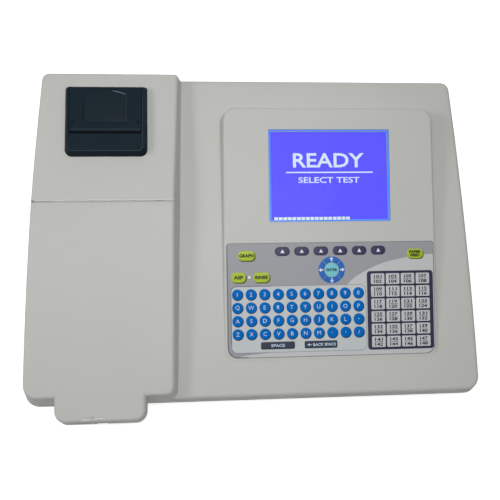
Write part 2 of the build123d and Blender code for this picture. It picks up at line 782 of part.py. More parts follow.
def sample_tubing():
    """Tube pressed into the pump's track, and the lines to the cell, the probe and the waste."""
    half = pump_size / 2
    leg = pump_track_radius - band_width / 2
    inner = pump_track_radius - band_width
    ring = Cylinder(pump_track_radius - running_gap, band_height) - Cylinder(inner, band_height)
    ring = Pos(0, 0, band_low + band_height / 2) * (ring & block(-reach, reach, 0, reach, -reach, reach))
    parts = [pump * ring]
    for side in (-1, 1):
        low, high = sorted((side * inner, side * (pump_track_radius - running_gap)))
        parts.append(pump * block(low, high, -half, 0, band_low, band_low + band_height))
    start_up = pump_up + half
    cell_y = Vector(bay_x, optic_y, cell_top - cell_cap_height / 2)
    side_x = cell_cap / 2 + barb_length
    cell_up = (panel.inverse() * Pos(cell_y)).position
    parts.append(tube_run([
        on_deck(bay_x - leg, start_up, tube_level),
        on_deck(bay_x - leg, start_up + 2 * tube_bend, tube_level),
        on_deck(bay_x + cell_line_side, cell_up.Y - 3 * tube_bend, cell_up.Z),
        on_deck(bay_x + cell_line_side, cell_up.Y, cell_up.Z),
        on_deck(bay_x - side_x, cell_up.Y, cell_up.Z),
    ], tube_bend))
    parts.append(tube_run([
        on_deck(bay_x + side_x, cell_up.Y, cell_up.Z),
        on_deck(bay_x + probe_line_side, cell_up.Y, cell_up.Z),
        on_deck(bay_x + probe_line_side, bay_front + 4 * tube_bend, tube_level),
        on_deck(nose_x, bay_front + 2 * tube_bend, probe_level),
        on_deck(nose_x, probe_holder_up + holder_length / 2, probe_level),
    ], tube_bend))
    parts.append(tube_run([
        on_deck(bay_x + leg, start_up, tube_level),
        on_deck(bay_x + leg, start_up + 1.5 * tube_bend, tube_level),
        on_deck(waste_x, waste_up, tube_level),
        on_deck(waste_x, waste_up, -bay_depth - 2 * tube_bend),
        Vector(waste_x, optic_y + 3 * tube_bend, waste_level),
        Vector(nozzle_x, wheel_y + wheel_radius, waste_level),
        Vector(nozzle_x, nozzle_inner_y() - 2 * tube_bend, waste_level),
        Vector(nozzle_x, nozzle_inner_y() - 2 * tube_bend, nozzle_height),
        Vector(nozzle_x, nozzle_inner_y(), nozzle_height),
    ], tube_bend))
    return Compound(children=parts)


def nozzle_inner_y():
    """Where the waste tube meets the nozzle's flange inside the back wall."""
    return back_y - wall_run(nozzle_height) - 2 * shell_wall - nozzle_flange


def sipper_probe():
    """Thin steel probe over the front edge, in a holder on the deck."""
    holder = panel * Pos(nose_x, probe_holder_up, 0) * slab(holder_width, holder_length, 2 * probe_level, 1.5)
    start = on_deck(nose_x, probe_holder_up - holder_length / 2, probe_level)
    drop_y = front_y - probe_reach
    turn = on_deck(nose_x, (drop_y - panel_edge_y) / cos(radians(panel_slope)), probe_level)
    path = FilletPolyline(start, turn, (nose_x, turn.Y, probe_tip), radius=5)
    needle = sweep(Plane(origin=path @ 0, z_dir=path % 0) * Circle(probe_radius), path=path)
    return Compound(children=[holder, needle])


# ---- Optics ----
def optics_bench():
    """Base with the flow-cell block and the wall that carries the filter motor."""
    back = lamp_y + lamp_box_length / 2 + 2
    half = bench_width / 2
    block_half = cell_block_length / 2
    top = tray_floor_top + bench_thickness
    base = block(bay_x - half, bay_x + half, optic_y - block_half - 5, back, tray_floor_top, top)
    cell_block = block(bay_x - block_half, bay_x + block_half, optic_y - block_half, optic_y + block_half,
                       top, cell_block_top)
    wall_top = wheel_z + filter_motor_size / 2 + 3
    wall = block(bay_x - half + 2, bay_x + half - 2, bracket_y, bracket_y + bracket_thickness, top, wall_top)
    well = cell_size / 2 + fit_gap / 2
    bench = base + cell_block + wall
    bench = bench - block(bay_x - well, bay_x + well, optic_y - well, optic_y + well, cell_foot, reach)
    bench = bench - long_rod(bay_x, optic_y - reach, bracket_y + reach, optic_height, beam_radius)
    return bench - long_rod(bay_x, bracket_y - 1, bracket_y + bracket_thickness + 1, wheel_z,
                            wheel_shaft_radius + 1)


def flow_cell():
    """Quartz cell in a metal body, with a cap and two tube barbs."""
    half = cell_size / 2
    cap = cell_cap / 2
    body = block(bay_x - half, bay_x + half, optic_y - half, optic_y + half, cell_foot,
                 cell_top - cell_cap_height)
    head = block(bay_x - cap, bay_x + cap, optic_y - cap, optic_y + cap, cell_top - cell_cap_height, cell_top)
    level = cell_top - cell_cap_height / 2
    barbs = cross_rod(bay_x - cap - barb_length, bay_x + cap + barb_length, optic_y, level, tube_radius)
    light = long_rod(bay_x, optic_y - cell_size, optic_y + cell_size, optic_height, beam_radius)
    return body + head + barbs - light


def filter_wheel():
    """Disc with a ring of filter holes, on its own shaft."""
    half = wheel_thickness / 2
    wheel = long_rod(bay_x, wheel_y - half, wheel_y + half, wheel_z, wheel_radius)
    for x, z in filter_places():
        wheel = wheel - long_rod(x, wheel_y - wheel_thickness, wheel_y + wheel_thickness, z, filter_radius)
    shaft_end = bracket_y + bracket_thickness + filter_motor_length / 2
    return wheel + long_rod(bay_x, wheel_y, shaft_end, wheel_z, wheel_shaft_radius)


def filter_places():
    """Filter positions round the wheel, one of them on the light path."""
    angles = [radians(-90 + i * 360 / filter_count) for i in range(filter_count)]
    return [(bay_x + filter_circle * cos(a), wheel_z + filter_circle * sin(a)) for a in angles]


def interference_filters():
    """Glass filters set in the wheel."""
    half = wheel_thickness / 4
    return Compound(children=[
        long_rod(x, wheel_y - half, wheel_y + half, z, filter_radius) for x, z in filter_places()
    ])


def filter_motor():
    """Stepper motor behind the bracket."""
    half = filter_motor_size / 2
    near = bracket_y + bracket_thickness
    body = block(bay_x - half, bay_x + half, near, near + filter_motor_length, wheel_z - half, wheel_z + half)
    bore_end = near + filter_motor_length / 2 + 2
    return body - long_rod(bay_x, 0, bore_end, wheel_z, wheel_shaft_radius + running_gap)


def lamp_housing():
    """Vented sheet box with a snout towards the filter wheel."""
    half = lamp_box_width / 2
    length = lamp_box_length / 2
    low = tray_floor_top + bench_thickness
    high = low + lamp_box_height
    box = block(bay_x - half, bay_x + half, lamp_y - length, lamp_y + length, low, high)
    box = box - block(bay_x - half + sheet_wall, bay_x + half - sheet_wall, lamp_y - length + sheet_wall,
                      lamp_y + length - sheet_wall, low + sheet_wall, high - sheet_wall)
    snout_end = bracket_y + bracket_thickness + 1
    box = box + long_rod(bay_x, snout_end, lamp_y - length, optic_height, beam_radius + sheet_wall)
    box = box - long_rod(bay_x, 0, lamp_y, optic_height, beam_radius)
    for i in (-1.5, -0.5, 0.5, 1.5):
        slot = block(bay_x - half / 2, bay_x + half / 2, -1.5, 1.5, high - 2 * sheet_wall, high + 1)
        box = box - Pos(0, lamp_y + i * lamp_box_length / 5, 0) * slot
    return box


def halogen_lamp():
    """Bulb on its ceramic base."""
    back = lamp_y + lamp_box_length / 2 - sheet_wall
    base = long_rod(bay_x, back - 10, back, optic_height, lamp_radius + 2.5)
    bulb = long_rod(bay_x, back - 26, back - 10, optic_height, lamp_radius)
    tip = Pos(bay_x, back - 26, optic_height) * Sphere(lamp_radius)
    return base + bulb + tip


def detector_board():
    """Small board with the photodiode against the cell block."""
    face = optic_y - cell_block_length / 2
    can = long_rod(bay_x, face - 3, face, optic_height, beam_radius + 1)
    card = block(bay_x - 16, bay_x + 16, face - 3 - board_thickness, face - 3,
                 tray_floor_top + bench_thickness, cell_block_top)
    return card + can


# ---- Printer ----
def printer_rim(thickness, shrink):
    """Plan of the printer's bezel, a little rounder at its front corners."""
    plan = Rectangle(printer_width - 2 * shrink, printer_length - 2 * shrink)
    plan = fillet(plan.vertices().group_by(Axis.Y)[0], 7 - shrink / 2)
    back = [v for v in plan.vertices() if v.Y > printer_length / 2 - shrink - 0.01]
    return Pos(0, 0, thickness) * fillet(back, 3)


def printer_frame():
    """Bezel with the door's cheeks and the bucket for the paper, and the print head inside."""
    wires = [printer_rim(0, 0).faces()[0].outer_wire(),
             printer_rim(printer_proud, printer_proud * tan(radians(printer_lean))).faces()[0].outer_wire()]
    bezel = Part(Solid.make_loft(wires, ruled=True).wrapped)
    top = flat_face(bezel, Location((0, 0, printer_proud)))
    bezel = fillet(top.edges(), 1.2)
    half_x = printer_width / 2 - printer_body_inset
    half_y = printer_length / 2 - printer_body_inset
    frame = bezel + block(-half_x, half_x, -half_y, half_y, -printer_depth, 0)
    half_door = door_width / 2 + door_gap
    lip = door_front - 2 * door_gap
    rear_gap = door_axis_y + door_thickness + door_gap
    frame = frame - block(-half_door, half_door, lip, rear_gap, printer_proud - door_thickness - 3, reach)
    bucket_low = roll_y - roll_radius - fit_gap
    bucket_high = roll_y + roll_radius + fit_gap
    half_roll = roll_width / 2 + 1
    frame = frame - block(-half_roll, half_roll, bucket_low, bucket_high,
                          -printer_depth + printer_wall, reach)
    half_arm = platen_length / 2 + arm_thickness + 2
    throat = platen_z - platen_radius - 1
    frame = frame - block(-half_arm, half_arm, lip, bucket_high, throat, printer_proud - door_thickness)
    head = block(-half_x + printer_wall, half_x - printer_wall, -half_y + printer_wall, lip - printer_wall,
                 -printer_depth + printer_wall, printer_proud - printer_wall)
    frame = frame - head
    pins = cross_rod(-half_door - door_pin_length - running_gap, half_door + door_pin_length + running_gap,
                     door_axis_y, door_axis_z, door_pin_radius + running_gap)
    head = block(-roll_width / 2, roll_width / 2, -half_y + printer_wall + 1, lip - printer_wall - 1,
                 -printer_depth + printer_wall, printer_proud - 2 * printer_wall - 1)
    return Compound(children=[printer * (frame - pins), printer * head])


def printer_door():
    """Hinged cover with the arms of the platen roller."""
    half = door_width / 2
    low = printer_proud - door_thickness
    plate = block(-half, half, door_front, door_axis_y, low, printer_proud)
    barrel = cross_rod(-half, half, door_axis_y, door_axis_z, door_roll)
    door = plate + barrel
    door = door + cross_rod(-half - door_gap - door_pin_length, half + door_gap + door_pin_length,
                            door_axis_y, door_axis_z, door_pin_radius)
    for side in (-1, 1):
        inner = side * (platen_length / 2 + 0.4)
        outer = inner + side * arm_thickness
        x_low, x_high = sorted((inner, outer))
        arm = block(x_low, x_high, platen_y - 3.5, platen_y + 3.5, platen_z, low)
        arm = arm + cross_rod(x_low, x_high, platen_y, platen_z, 3.5)
        door = door + arm
    door = door - cross_rod(-half, half, platen_y, platen_z, platen_axle_radius + running_gap)
    door = door - window_form(printer_proud - window_thickness, window_thickness + 1, fit_gap / 2)
    return printer * door


def window_form(low, thickness, grow):
    """Plate with an arched far end."""
    arch = window_width / 2 + grow
    rise = arch * 0.45
    base = door_front + window_from_front - grow
    spring = door_axis_y - window_from_axis - rise
    top = ThreePointArc((-arch, spring), (0, spring + rise + grow), (arch, spring))
    sides = [
        Line((arch, spring), (arch, base)),
        Line((arch, base), (-arch, base)),
        Line((-arch, base), (-arch, spring)),
    ]
    return Pos(0, 0, low) * extrude(make_face(Curve() + [top] + sides), thickness)


def printer_window():
    """Smoky viewing window set in the door."""
    return printer * window_form(printer_proud - window_thickness, window_thickness + 0.4, 0)


def platen_roller():
    """Rubber roller on a steel axle."""
    half = platen_length / 2
    roller = cross_rod(-half, half, platen_y, platen_z, platen_radius)
    return printer * (roller + cross_rod(-half - arm_thickness, half + arm_thickness, platen_y, platen_z,
                                         platen_axle_radius))


def paper_roll():
    """Roll of thermal paper on its core."""
    z = -printer_depth + printer_wall + roll_radius + fit_gap
    half = roll_width / 2
    roll = cross_rod(-half, half, roll_y, z, roll_radius)
    return printer * (roll - cross_rod(-half, half, roll_y, z, roll_core_radius))


# ---- Display ----
def display_lens():
    """Clear window set flush in the pod."""
    return console * Pos(0, 0, -lens_thickness) * slab(lens_width, lens_height, lens_thickness, 1)


def display_module():
    """Metal-framed display behind the window."""
    frame = Pos(0, 0, -shell_wall - module_depth) * slab(module_width, module_height, module_depth, 1.5)
    recess = Box(screen_width, screen_height, 2 * screen_thickness)
    return console * (frame - Pos(0, 0, -shell_wall - screen_thickness) * recess)


def display_screen():
    """The lit screen, recessed in the module."""
    z = -shell_wall - screen_thickness / 2
    return console * Pos(0, 0, z) * Box(screen_width, screen_height, screen_thickness)


# ---- Keypad ----
def overlay_plan(grow=0.0):
    """Outline of the keypad overlay on the pod."""
    plan = Rectangle(overlay_width + 2 * grow, overlay_bottom - overlay_top + 2 * grow)
    plan = fillet(plan.vertices().group_by(Axis.Y)[0], overlay_bottom_radius + grow)
    half = (overlay_bottom - overlay_top) / 2 + grow
    top = [v for v in plan.vertices() if v.Y > half - 0.01]
    return Pos(0, -overlay_down, 0) * fillet(top, overlay_top_radius + grow)


def letter_places():
    """Centres of the round letter and number keys, row by row."""
    return [
        (letter_left + column * letter_pitch_x, letter_down + row * letter_pitch_y)
        for row in range(letter_rows) for column in range(letter_columns)
    ]


def test_places():
    """Centres of the test keys, row by row."""
    return [
        (test_x + (column - (test_columns - 1) / 2) * test_pitch_x,
         test_down + (row - (test_rows - 1) / 2) * test_pitch_y)
        for row in range(test_rows) for column in range(test_columns)
    ]


# Function keys: middle across, middle below the display, width, height.
function_keys = {
    "graph_key": (-84.7, 79.0, 16.5, 9.8),
    "aspirate_key": (-92.8, 100.3, 14.4, 10.0),
    "rinse_key": (-70.1, 100.4, 15.8, 10.0),
    "feed_key": (85.0, 79.0, 16.5, 9.5),
    "space_key": (-54.9, bar_down, 33.6, bar_height),
    "backspace_key": (-12.0, bar_down, 32.9, bar_height),
}
for number in range(soft_key_count):
    across = soft_key_offset + (number - (soft_key_count - 1) / 2) * soft_key_pitch
    function_keys[f"soft_key_{number + 1}"] = (across, soft_key_down, soft_key_width, soft_key_height)
arrow_turns = {"right_key": 0, "up_key": 90, "left_key": 180, "down_key": 270}


def function_plan(name, grow=0.0):
    """Outline of one oblong key."""
    across, down, width, height = function_keys[name]
    radius = bar_radius if name in ("space_key", "backspace_key") else min(height / 2 - 0.2, function_radius)
    return Pos(across, -down, 0) * RectangleRounded(width + 2 * grow, height + 2 * grow, radius + grow)


def arrow_plan(name):
    """A quarter of the arrow ring."""
    ring = Circle(ring_radius) - Circle(ring_inner_radius)
    side = ring_radius * 2
    shift = ring_split / sqrt(2)
    wedge = Polygon((shift, 0), (shift + side, side), (shift + side, -side), align=None)
    return Pos(0, -ring_down, 0) * Rot(0, 0, arrow_turns[name]) * (ring & wedge)


def key(plan):
    """A key that stands just off the board and passes through the overlay."""
    low = key_travel + 0.05 - shell_wall
    return console * Pos(0, 0, low) * extrude(plan, key_proud - low)


def fixed_key(plan):
    """An embossed key that stands on the board."""
    return console * Pos(0, 0, -shell_wall) * extrude(plan, key_proud + shell_wall)


def letter_keys():
    """Round keys for letters and numbers."""
    return Compound(children=[
        fixed_key(Pos(x, -down, 0) * Circle(letter_radius)) for x, down in letter_places()
    ])


def test_keys():
    """Rectangular keys that each choose a test."""
    plan = RectangleRounded(test_key_width, test_key_height, 1)
    return Compound(children=[fixed_key(Pos(x, -down, 0) * plan) for x, down in test_places()])


def keypad_overlay():
    """Printed overlay with a hole for each key."""
    plan = overlay_plan()
    holes = [Pos(x, -down, 0) * Circle(letter_radius + key_clearance) for x, down in letter_places()]
    test_hole = RectangleRounded(test_key_width + 2 * key_clearance, test_key_height + 2 * key_clearance, 1)
    holes += [Pos(x, -down, 0) * test_hole for x, down in test_places()]
    holes += [function_plan(name, key_clearance) for name in function_keys]
    holes.append(Pos(0, -ring_down, 0) * Circle(ring_radius + key_clearance))
    return console * Pos(0, 0, -overlay_thickness) * extrude(plan - holes, overlay_thickness)


def keypad_board():
    """Switch board against the pod's inside."""
    board = Box(opening_width + 2 * board_overlap, opening_height + 2 * board_overlap, board_thickness)
    return console * Pos(0, -overlay_down, -shell_wall - board_thickness / 2) * board


# ---- Rear plate and what it carries ----
def rear_plate():
    """Sheet plate behind the window in the back wall."""
    plate = Pos(-plate_x, 0, -plate_thickness) * slab(plate_width, plate_height, plate_thickness, 3)
    plate = plate - Pos(-inlet_x, 0, 0) * Box(inlet_width, inlet_height, 4 * plate_thickness)
    plate = plate - Pos(-rocker_x, 0, 0) * Box(rocker_width + 4, rocker_height + 4, 4 * plate_thickness)
    plate = plate - Pos(-port_x, 0, 0) * Box(port_width - 8, port_height, 4 * plate_thickness)
    for i in range(-3, 4):
        half = sqrt((fan_size / 2 - 3) ** 2 - (i * 5) ** 2)
        plate = plate - Pos(-fan_x + i * 5, 0, 0) * Box(2.6, 2 * half, 4 * plate_thickness)
    return rear * plate


def mains_inlet():
    """Three-pin mains inlet and the frame of the power switch beside it."""
    flange = Pos(-inlet_x, 0, 0) * slab(inlet_width + 2 * inlet_flange, inlet_height + inlet_flange, 2, 2)
    body = Pos(-inlet_x, 0, -inlet_depth / 2) * Box(inlet_width, inlet_height, inlet_depth)
    pocket = Pos(-inlet_x, 0, 0) * Box(inlet_width - 6, inlet_height - 8, 2 * (inlet_depth - 6))
    inlet = flange + body - pocket
    for dx, dy in ((-6, -2), (0, 3), (6, -2)):
        pin = Pos(-inlet_x + dx, dy, -inlet_depth + 6) * Box(2, 4, 28)
        inlet = inlet + (pin & body)
    return Compound(children=[rear * inlet, switch_housing()])


def switch_housing():
    """Frame of the power switch."""
    flange = Pos(-rocker_x, 0, 0) * slab(rocker_width + 8, rocker_height + 8, 2, 2)
    body = Pos(-rocker_x, 0, -7) * Box(rocker_width + 4, rocker_height + 4, 14)
    pocket = Pos(-rocker_x, 0, -3) * Box(rocker_width + 2 * fit_gap, rocker_height + 1.2, 16)
    pin = cross_rod(-rocker_x - rocker_width / 2 - 1.5, -rocker_x + rocker_width / 2 + 1.5, 0, 0,
                    rocker_pin_radius + running_gap)
    return rear * ((flange + body) - pocket - pin)


def power_rocker():
    """Two-way rocker, resting in its off position."""
    half = rocker_height / 2
    end = half - 0.5
    side = Polygon((-end, -2), (end, -2), (end, 3.6), (0, 2), (-end, 3.6), align=None)
    body = extrude(Plane.YZ * side, rocker_width / 2, both=True)
    body = body + cross_rod(-rocker_width / 2 - 1.4, rocker_width / 2 + 1.4, 0, 0, rocker_pin_radius)
    return rear * Pos(-rocker_x, 0, 0) * Rot(rocker_tilt, 0, 0) * body


def fan_frame():
    """Square fan frame with its motor seat on three struts."""
    near = -plate_thickness
    frame = Pos(-fan_x, 0, near - fan_depth / 2) * Box(fan_size, fan_size, fan_depth)
    frame = frame - Pos(-fan_x, 0, near - fan_depth / 2) * Cylinder(fan_rotor_radius + 1, 2 * fan_depth)
    for turn in (30, 150, 270):
        strut = Box(fan_rotor_radius + 2, 3, 1.2, align=(Align.MIN, Align.CENTER, Align.MIN))
        frame = frame + Pos(-fan_x, 0, near - fan_depth) * Rot(0, 0, turn) * strut
    seat = rod(-fan_x, 0, near - fan_depth, near - fan_depth + 1.8, fan_hub_radius)
    return rear * (frame + seat - rod(-fan_x, 0, -reach, reach, fan_shaft_radius + running_gap))


def fan_rotor():
    """Hub with its blades and shaft."""
    far = -plate_thickness - fan_depth
    hub = rod(0, 0, far + 2.1, -plate_thickness - 1, fan_hub_radius)
    rotor = hub + rod(0, 0, far + 0.3, far + 3, fan_shaft_radius)
    for i in range(fan_blades):
        reach_out = fan_rotor_radius - fan_hub_radius + 1
        blade = Box(reach_out, 1.2, 7, align=(Align.MIN, Align.CENTER, Align.CENTER))
        blade = Pos(fan_hub_radius - 1, 0, 0) * Rot(35, 0, 0) * blade
        rotor = rotor + Rot(0, 0, i * 360 / fan_blades) * Pos(0, 0, far / 2 - 0.4) * blade
    return rear * Pos(-fan_x, 0, 0) * (rotor & Cylinder(fan_rotor_radius, 3 * fan_depth))


def data_port():
    """Nine-pin serial socket through the plate."""
    shell = Pos(-port_x, 0, 0) * slab(port_width - 12, port_height - 3, 5, 3)
    shell = shell - Pos(-port_x, 0, 1) * slab(port_width - 14, port_height - 5, 6, 2)
    flange = Pos(-port_x, 0, 0) * slab(port_width, port_height + 1, 1, 1)
    body = Pos(-port_x, 0, -port_depth) * slab(port_width - 9, port_height - 1, port_depth, 1)
    return rear * (shell + flange + body)


def waste_nozzle():
    """Barbed outlet with its flange inside the back wall."""
    wall = rear_wall_frame(nozzle_height) * Pos(-nozzle_x, 0, 0)
    stem = rod(0, 0, -nozzle_flange, shell_wall + waste_reach, waste_radius)
    flange = rod(0, 0, -nozzle_flange, 0, 2 * waste_radius)
    barb = Pos(0, 0, shell_wall + waste_reach - 3) * Cone(waste_radius + 1, waste_radius - 0.5, 3)
    return wall * (stem + flange + barb - rod(0, 0, -reach, reach, tube_radius))


# ---- Boards and power supply ----
def main_board():
    """Main circuit board with its larger components."""
    low = tray_floor_top + standoff_height
    half_x = main_board_width / 2
    half_y = main_board_length / 2
    x, y = main_board_x, main_board_y
    top = low + board_thickness
    board = block(x - half_x, x + half_x, y - half_y, y + half_y, low, top)
    for dx, dy, width, length, height in (
        (-30, 20, 24, 24, 2.5), (10, 25, 16, 16, 2), (40, 10, 12, 20, 2.5), (-60, -20, 20, 8, 8),
        (20, -30, 34, 8, 6), (70, -15, 8, 40, 8), (-10, -5, 10, 22, 2.5), (60, 42, 14, 14, 9),
    ):
        board = board + Pos(x + dx, y + dy, top + height / 2) * Box(width, length, height)
    return board


def power_supply():
    """Open-frame supply on its bent sheet base."""
    half_x = supply_width / 2
    half_y = supply_length / 2
    x, y = supply_x, supply_y
    low = tray_floor_top
    base = block(x - half_x, x + half_x, y - half_y, y + half_y, low, low + sheet_wall)
    side = block(x - half_x, x - half_x + sheet_wall, y - half_y, y + half_y, low, low + supply_height)
    card = block(x - half_x + sheet_wall, x + half_x, y - half_y, y + half_y,
                 low + 5, low + 5 + board_thickness)
    posts = [
        rod(x + i * (half_x - 6), y + j * (half_y - 6), low, low + 5.5, 3)
        for i in (-1, 1) for j in (-1, 1)
    ]
    top = low + 5 + board_thickness
    coil = block(x - 20, x + 8, y - 12, y + 12, top, low + supply_height - 4)
    caps = [rod(x + 28, y + dy, top, low + supply_height - 6, 7) for dy in (-16, 6)]
    sink = block(x - 40, x - 34, y - 25, y + 25, top, low + supply_height - 3)
    return base + side + card + posts + coil + caps + sink


def write(name, shape):
    """Save one named piece."""
    shape.label = name
    export_step(shape, f"parts/{name}.step")


pieces = {
    "upper_shell": upper_shell, "base_tray": base_tray, "rubber_feet": rubber_feet,
    "case_screws": case_screws,
    "sample_lid": sample_lid, "lid_hinge_pin": lid_hinge_pin, "sample_bay": sample_bay,
    "pump_housing": pump_housing, "pump_rotor": pump_rotor, "pump_rollers": pump_rollers,
    "pump_motor": pump_motor, "pump_clamp": pump_clamp, "sample_tubing": sample_tubing,
    "sipper_probe": sipper_probe, "optics_bench": optics_bench, "flow_cell": flow_cell,
    "filter_wheel": filter_wheel, "interference_filters": interference_filters, "filter_motor": filter_motor,
    "lamp_housing": lamp_housing, "halogen_lamp": halogen_lamp, "detector_board": detector_board,
    "printer_frame": printer_frame, "printer_door": printer_door,
    "printer_window": printer_window, "platen_roller": platen_roller, "paper_roll": paper_roll,
    "display_lens": display_lens, "display_module": display_module, "display_screen": display_screen,
    "keypad_overlay": keypad_overlay, "keypad_board": keypad_board, "letter_keys": letter_keys,
    "test_keys": test_keys, "rear_plate": rear_plate, "mains_inlet": mains_inlet,
    "power_rocker": power_rocker, "fan_frame": fan_frame,
    "fan_rotor": fan_rotor, "data_port": data_port, "waste_nozzle": waste_nozzle,
    "main_board": main_board, "power_supply": power_supply,
}
for name, make in pieces.items():
    write(name, make())
write("enter_key", key(Pos(0, -ring_down, 0) * Circle(enter_radius)))
for name in function_keys:
    write(name, key(function_plan(name)))
for name in arrow_turns:
    write(name, key(arrow_plan(name)))
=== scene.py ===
import json
from math import acos, atan, cos, pi, radians, sin, sqrt, tan

import bmesh
import bpy
from mathutils import Matrix, Vector


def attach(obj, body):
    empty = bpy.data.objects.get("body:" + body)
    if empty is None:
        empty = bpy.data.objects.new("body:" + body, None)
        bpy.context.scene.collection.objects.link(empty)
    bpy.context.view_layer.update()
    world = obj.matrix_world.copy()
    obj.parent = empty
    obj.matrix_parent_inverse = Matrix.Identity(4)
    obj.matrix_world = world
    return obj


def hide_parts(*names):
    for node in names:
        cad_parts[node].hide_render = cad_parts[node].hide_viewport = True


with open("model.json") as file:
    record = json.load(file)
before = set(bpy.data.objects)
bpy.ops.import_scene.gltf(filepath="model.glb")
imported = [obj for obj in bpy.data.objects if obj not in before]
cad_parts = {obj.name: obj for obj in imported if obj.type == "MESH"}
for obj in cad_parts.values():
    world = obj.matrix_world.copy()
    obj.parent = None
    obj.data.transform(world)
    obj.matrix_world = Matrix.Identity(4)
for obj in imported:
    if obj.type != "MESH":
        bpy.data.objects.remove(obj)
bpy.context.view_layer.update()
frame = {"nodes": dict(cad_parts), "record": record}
nodes = frame["nodes"]
MM = 0.001

# ---- Places of the sloping faces, as the solids have them (mm and degrees) ----
FRONT_Y = -151.35            # front wall at the shell's foot
SHELL_FOOT = 20
WALL_DRAFT = 8
PANEL_FRONT = 32.2           # height of the panel's front edge
PANEL_SLOPE = 16
CONSOLE_SLOPE = 20
LID_SLOPE = 18.1
BLOCK_SLOPE = 12.8
POD_X = 75.25                # middle of the raised pod
POD_LIP_UP = 32.0            # panel's front edge to the pod's front lip, up the slope
DISPLAY_UP = 184             # pod's front lip to the display's middle, up the slope
LID_RUN = 178.5              # panel's front edge to the seam behind the lid, level
SEAM_RISE = 20.8             # block's top above the panel at the seam
PRINTER_X = -143.65
PRINTER_UP = 77.8            # seam to the printer's middle, up the block's slope

PANEL_Y = FRONT_Y + (PANEL_FRONT - SHELL_FOOT) * tan(radians(WALL_DRAFT))
SEAM_Y = PANEL_Y + LID_RUN
SEAM_Z = PANEL_FRONT + LID_RUN * tan(radians(PANEL_SLOPE)) + SEAM_RISE


def sloped(origin, slope):
    """Matrix of a face: x to the right, y up the slope, z out of it, in millimetres."""
    place = Matrix.Translation(Vector(origin) * MM)
    return place @ Matrix.Rotation(radians(slope), 4, "X") @ Matrix.Scale(MM, 4)


def along(face, x, y):
    """A point on a face, in millimetres of the row's frame."""
    return (face @ Vector((x, y, 0))) / MM


panel = sloped((0, PANEL_Y, PANEL_FRONT), PANEL_SLOPE)
pod_lip = sloped(along(panel, POD_X, POD_LIP_UP), CONSOLE_SLOPE)
console = sloped(along(pod_lip, 0, DISPLAY_UP), CONSOLE_SLOPE)    # from the display's middle
lid_face = sloped((0, SEAM_Y, SEAM_Z), LID_SLOPE)
block_face = sloped((0, SEAM_Y, SEAM_Z), BLOCK_SLOPE)
seam_wall = sloped((0, SEAM_Y, SEAM_Z), 0)
printer = sloped(along(block_face, PRINTER_X, PRINTER_UP), BLOCK_SLOPE)


# ---- Camera: set from the photograph's own perspective ----
LENS, SENSOR = 46.8, 36
CAMERA_PLACE = Vector((-58.85, -247.7, 672.1)) * MM
CAMERA_RIGHT = Vector((0.996443, -0.043731, 0.072030))
CAMERA_UP = Vector((0.014338, 0.930318, 0.366474))
CAMERA_BACK = Vector((-0.083037, -0.364138, 0.927636))


def add_camera():
    """Camera at the photograph's place, from the display's and the keypad's corners."""
    data = bpy.data.cameras.new("camera")
    data.lens = LENS
    data.sensor_width = SENSOR
    data.clip_end = 50
    cam = bpy.data.objects.new("camera", data)
    bpy.context.collection.objects.link(cam)
    axes = Matrix((CAMERA_RIGHT, CAMERA_UP, CAMERA_BACK)).transposed().to_4x4()
    cam.matrix_world = Matrix.Translation(CAMERA_PLACE) @ axes
    bpy.context.scene.camera = cam


add_camera()


# ---- Materials ----
NOISE_LOW, NOISE_HIGH = 0.3, 0.7     # a noise texture mostly stays between these
ROUGH_CHANGE = 0.06                  # unevenness of a surface's roughness
GLOW_CHANGE = 0.03                   # unevenness of a lit segment
UNLIT_SHARE = 0.03                   # a lit segment's own colour, as a share of its light


def srgb(*colour):
    """Linear colour from 0-255 values."""
    def one(value):
        value = value / 255
        return value / 12.92 if value <= 0.04045 else ((value + 0.055) / 1.055) ** 2.4
    return (*[one(value) for value in colour], 1.0)


def shade(colour, factor):
    """A colour made lighter or darker."""
    return (*[min(1.0, channel * factor) for channel in colour[:3]], 1.0)


def new_material(name):
    """A new material, its node tree and its shader."""
    material = bpy.data.materials.new(name)
    material.use_nodes = True
    tree = material.node_tree
    return material, tree, tree.nodes["Principled BSDF"]


def noise(tree, scale, detail=2, rough=0.5, stretch=(1, 1, 1)):
    """Noise in object coordinates, so that it stays on the piece."""
    where = tree.nodes.new("ShaderNodeTexCoord")
    mapping = tree.nodes.new("ShaderNodeMapping")
    mapping.inputs["Scale"].default_value = stretch
    tree.links.new(where.outputs["Object"], mapping.inputs["Vector"])
    texture = tree.nodes.new("ShaderNodeTexNoise")
    texture.inputs["Scale"].default_value = scale
    texture.inputs["Detail"].default_value = detail
    texture.inputs["Roughness"].default_value = rough
    tree.links.new(mapping.outputs["Vector"], texture.inputs["Vector"])
    return texture.outputs["Fac"]


def spread(tree, value, low, high):
    """A noise value moved to the range low..high."""
    node = tree.nodes.new("ShaderNodeMapRange")
    node.inputs["From Min"].default_value = NOISE_LOW
    node.inputs["From Max"].default_value = NOISE_HIGH
    node.inputs["To Min"].default_value = low
    node.inputs["To Max"].default_value = high
    tree.links.new(value, node.inputs["Value"])
    return node.outputs["Result"]


def mottled(tree, value, colour, change):
    """Colour that varies slowly with a noise value."""
    node = tree.nodes.new("ShaderNodeMix")
    node.data_type = "RGBA"
    tree.links.new(spread(tree, value, 0.0, 1.0), node.inputs["Factor"])
    for socket, factor in ((6, 1 - change), (7, 1 + change)):
        node.inputs[socket].default_value = shade(colour, factor)
    return node.outputs[2]


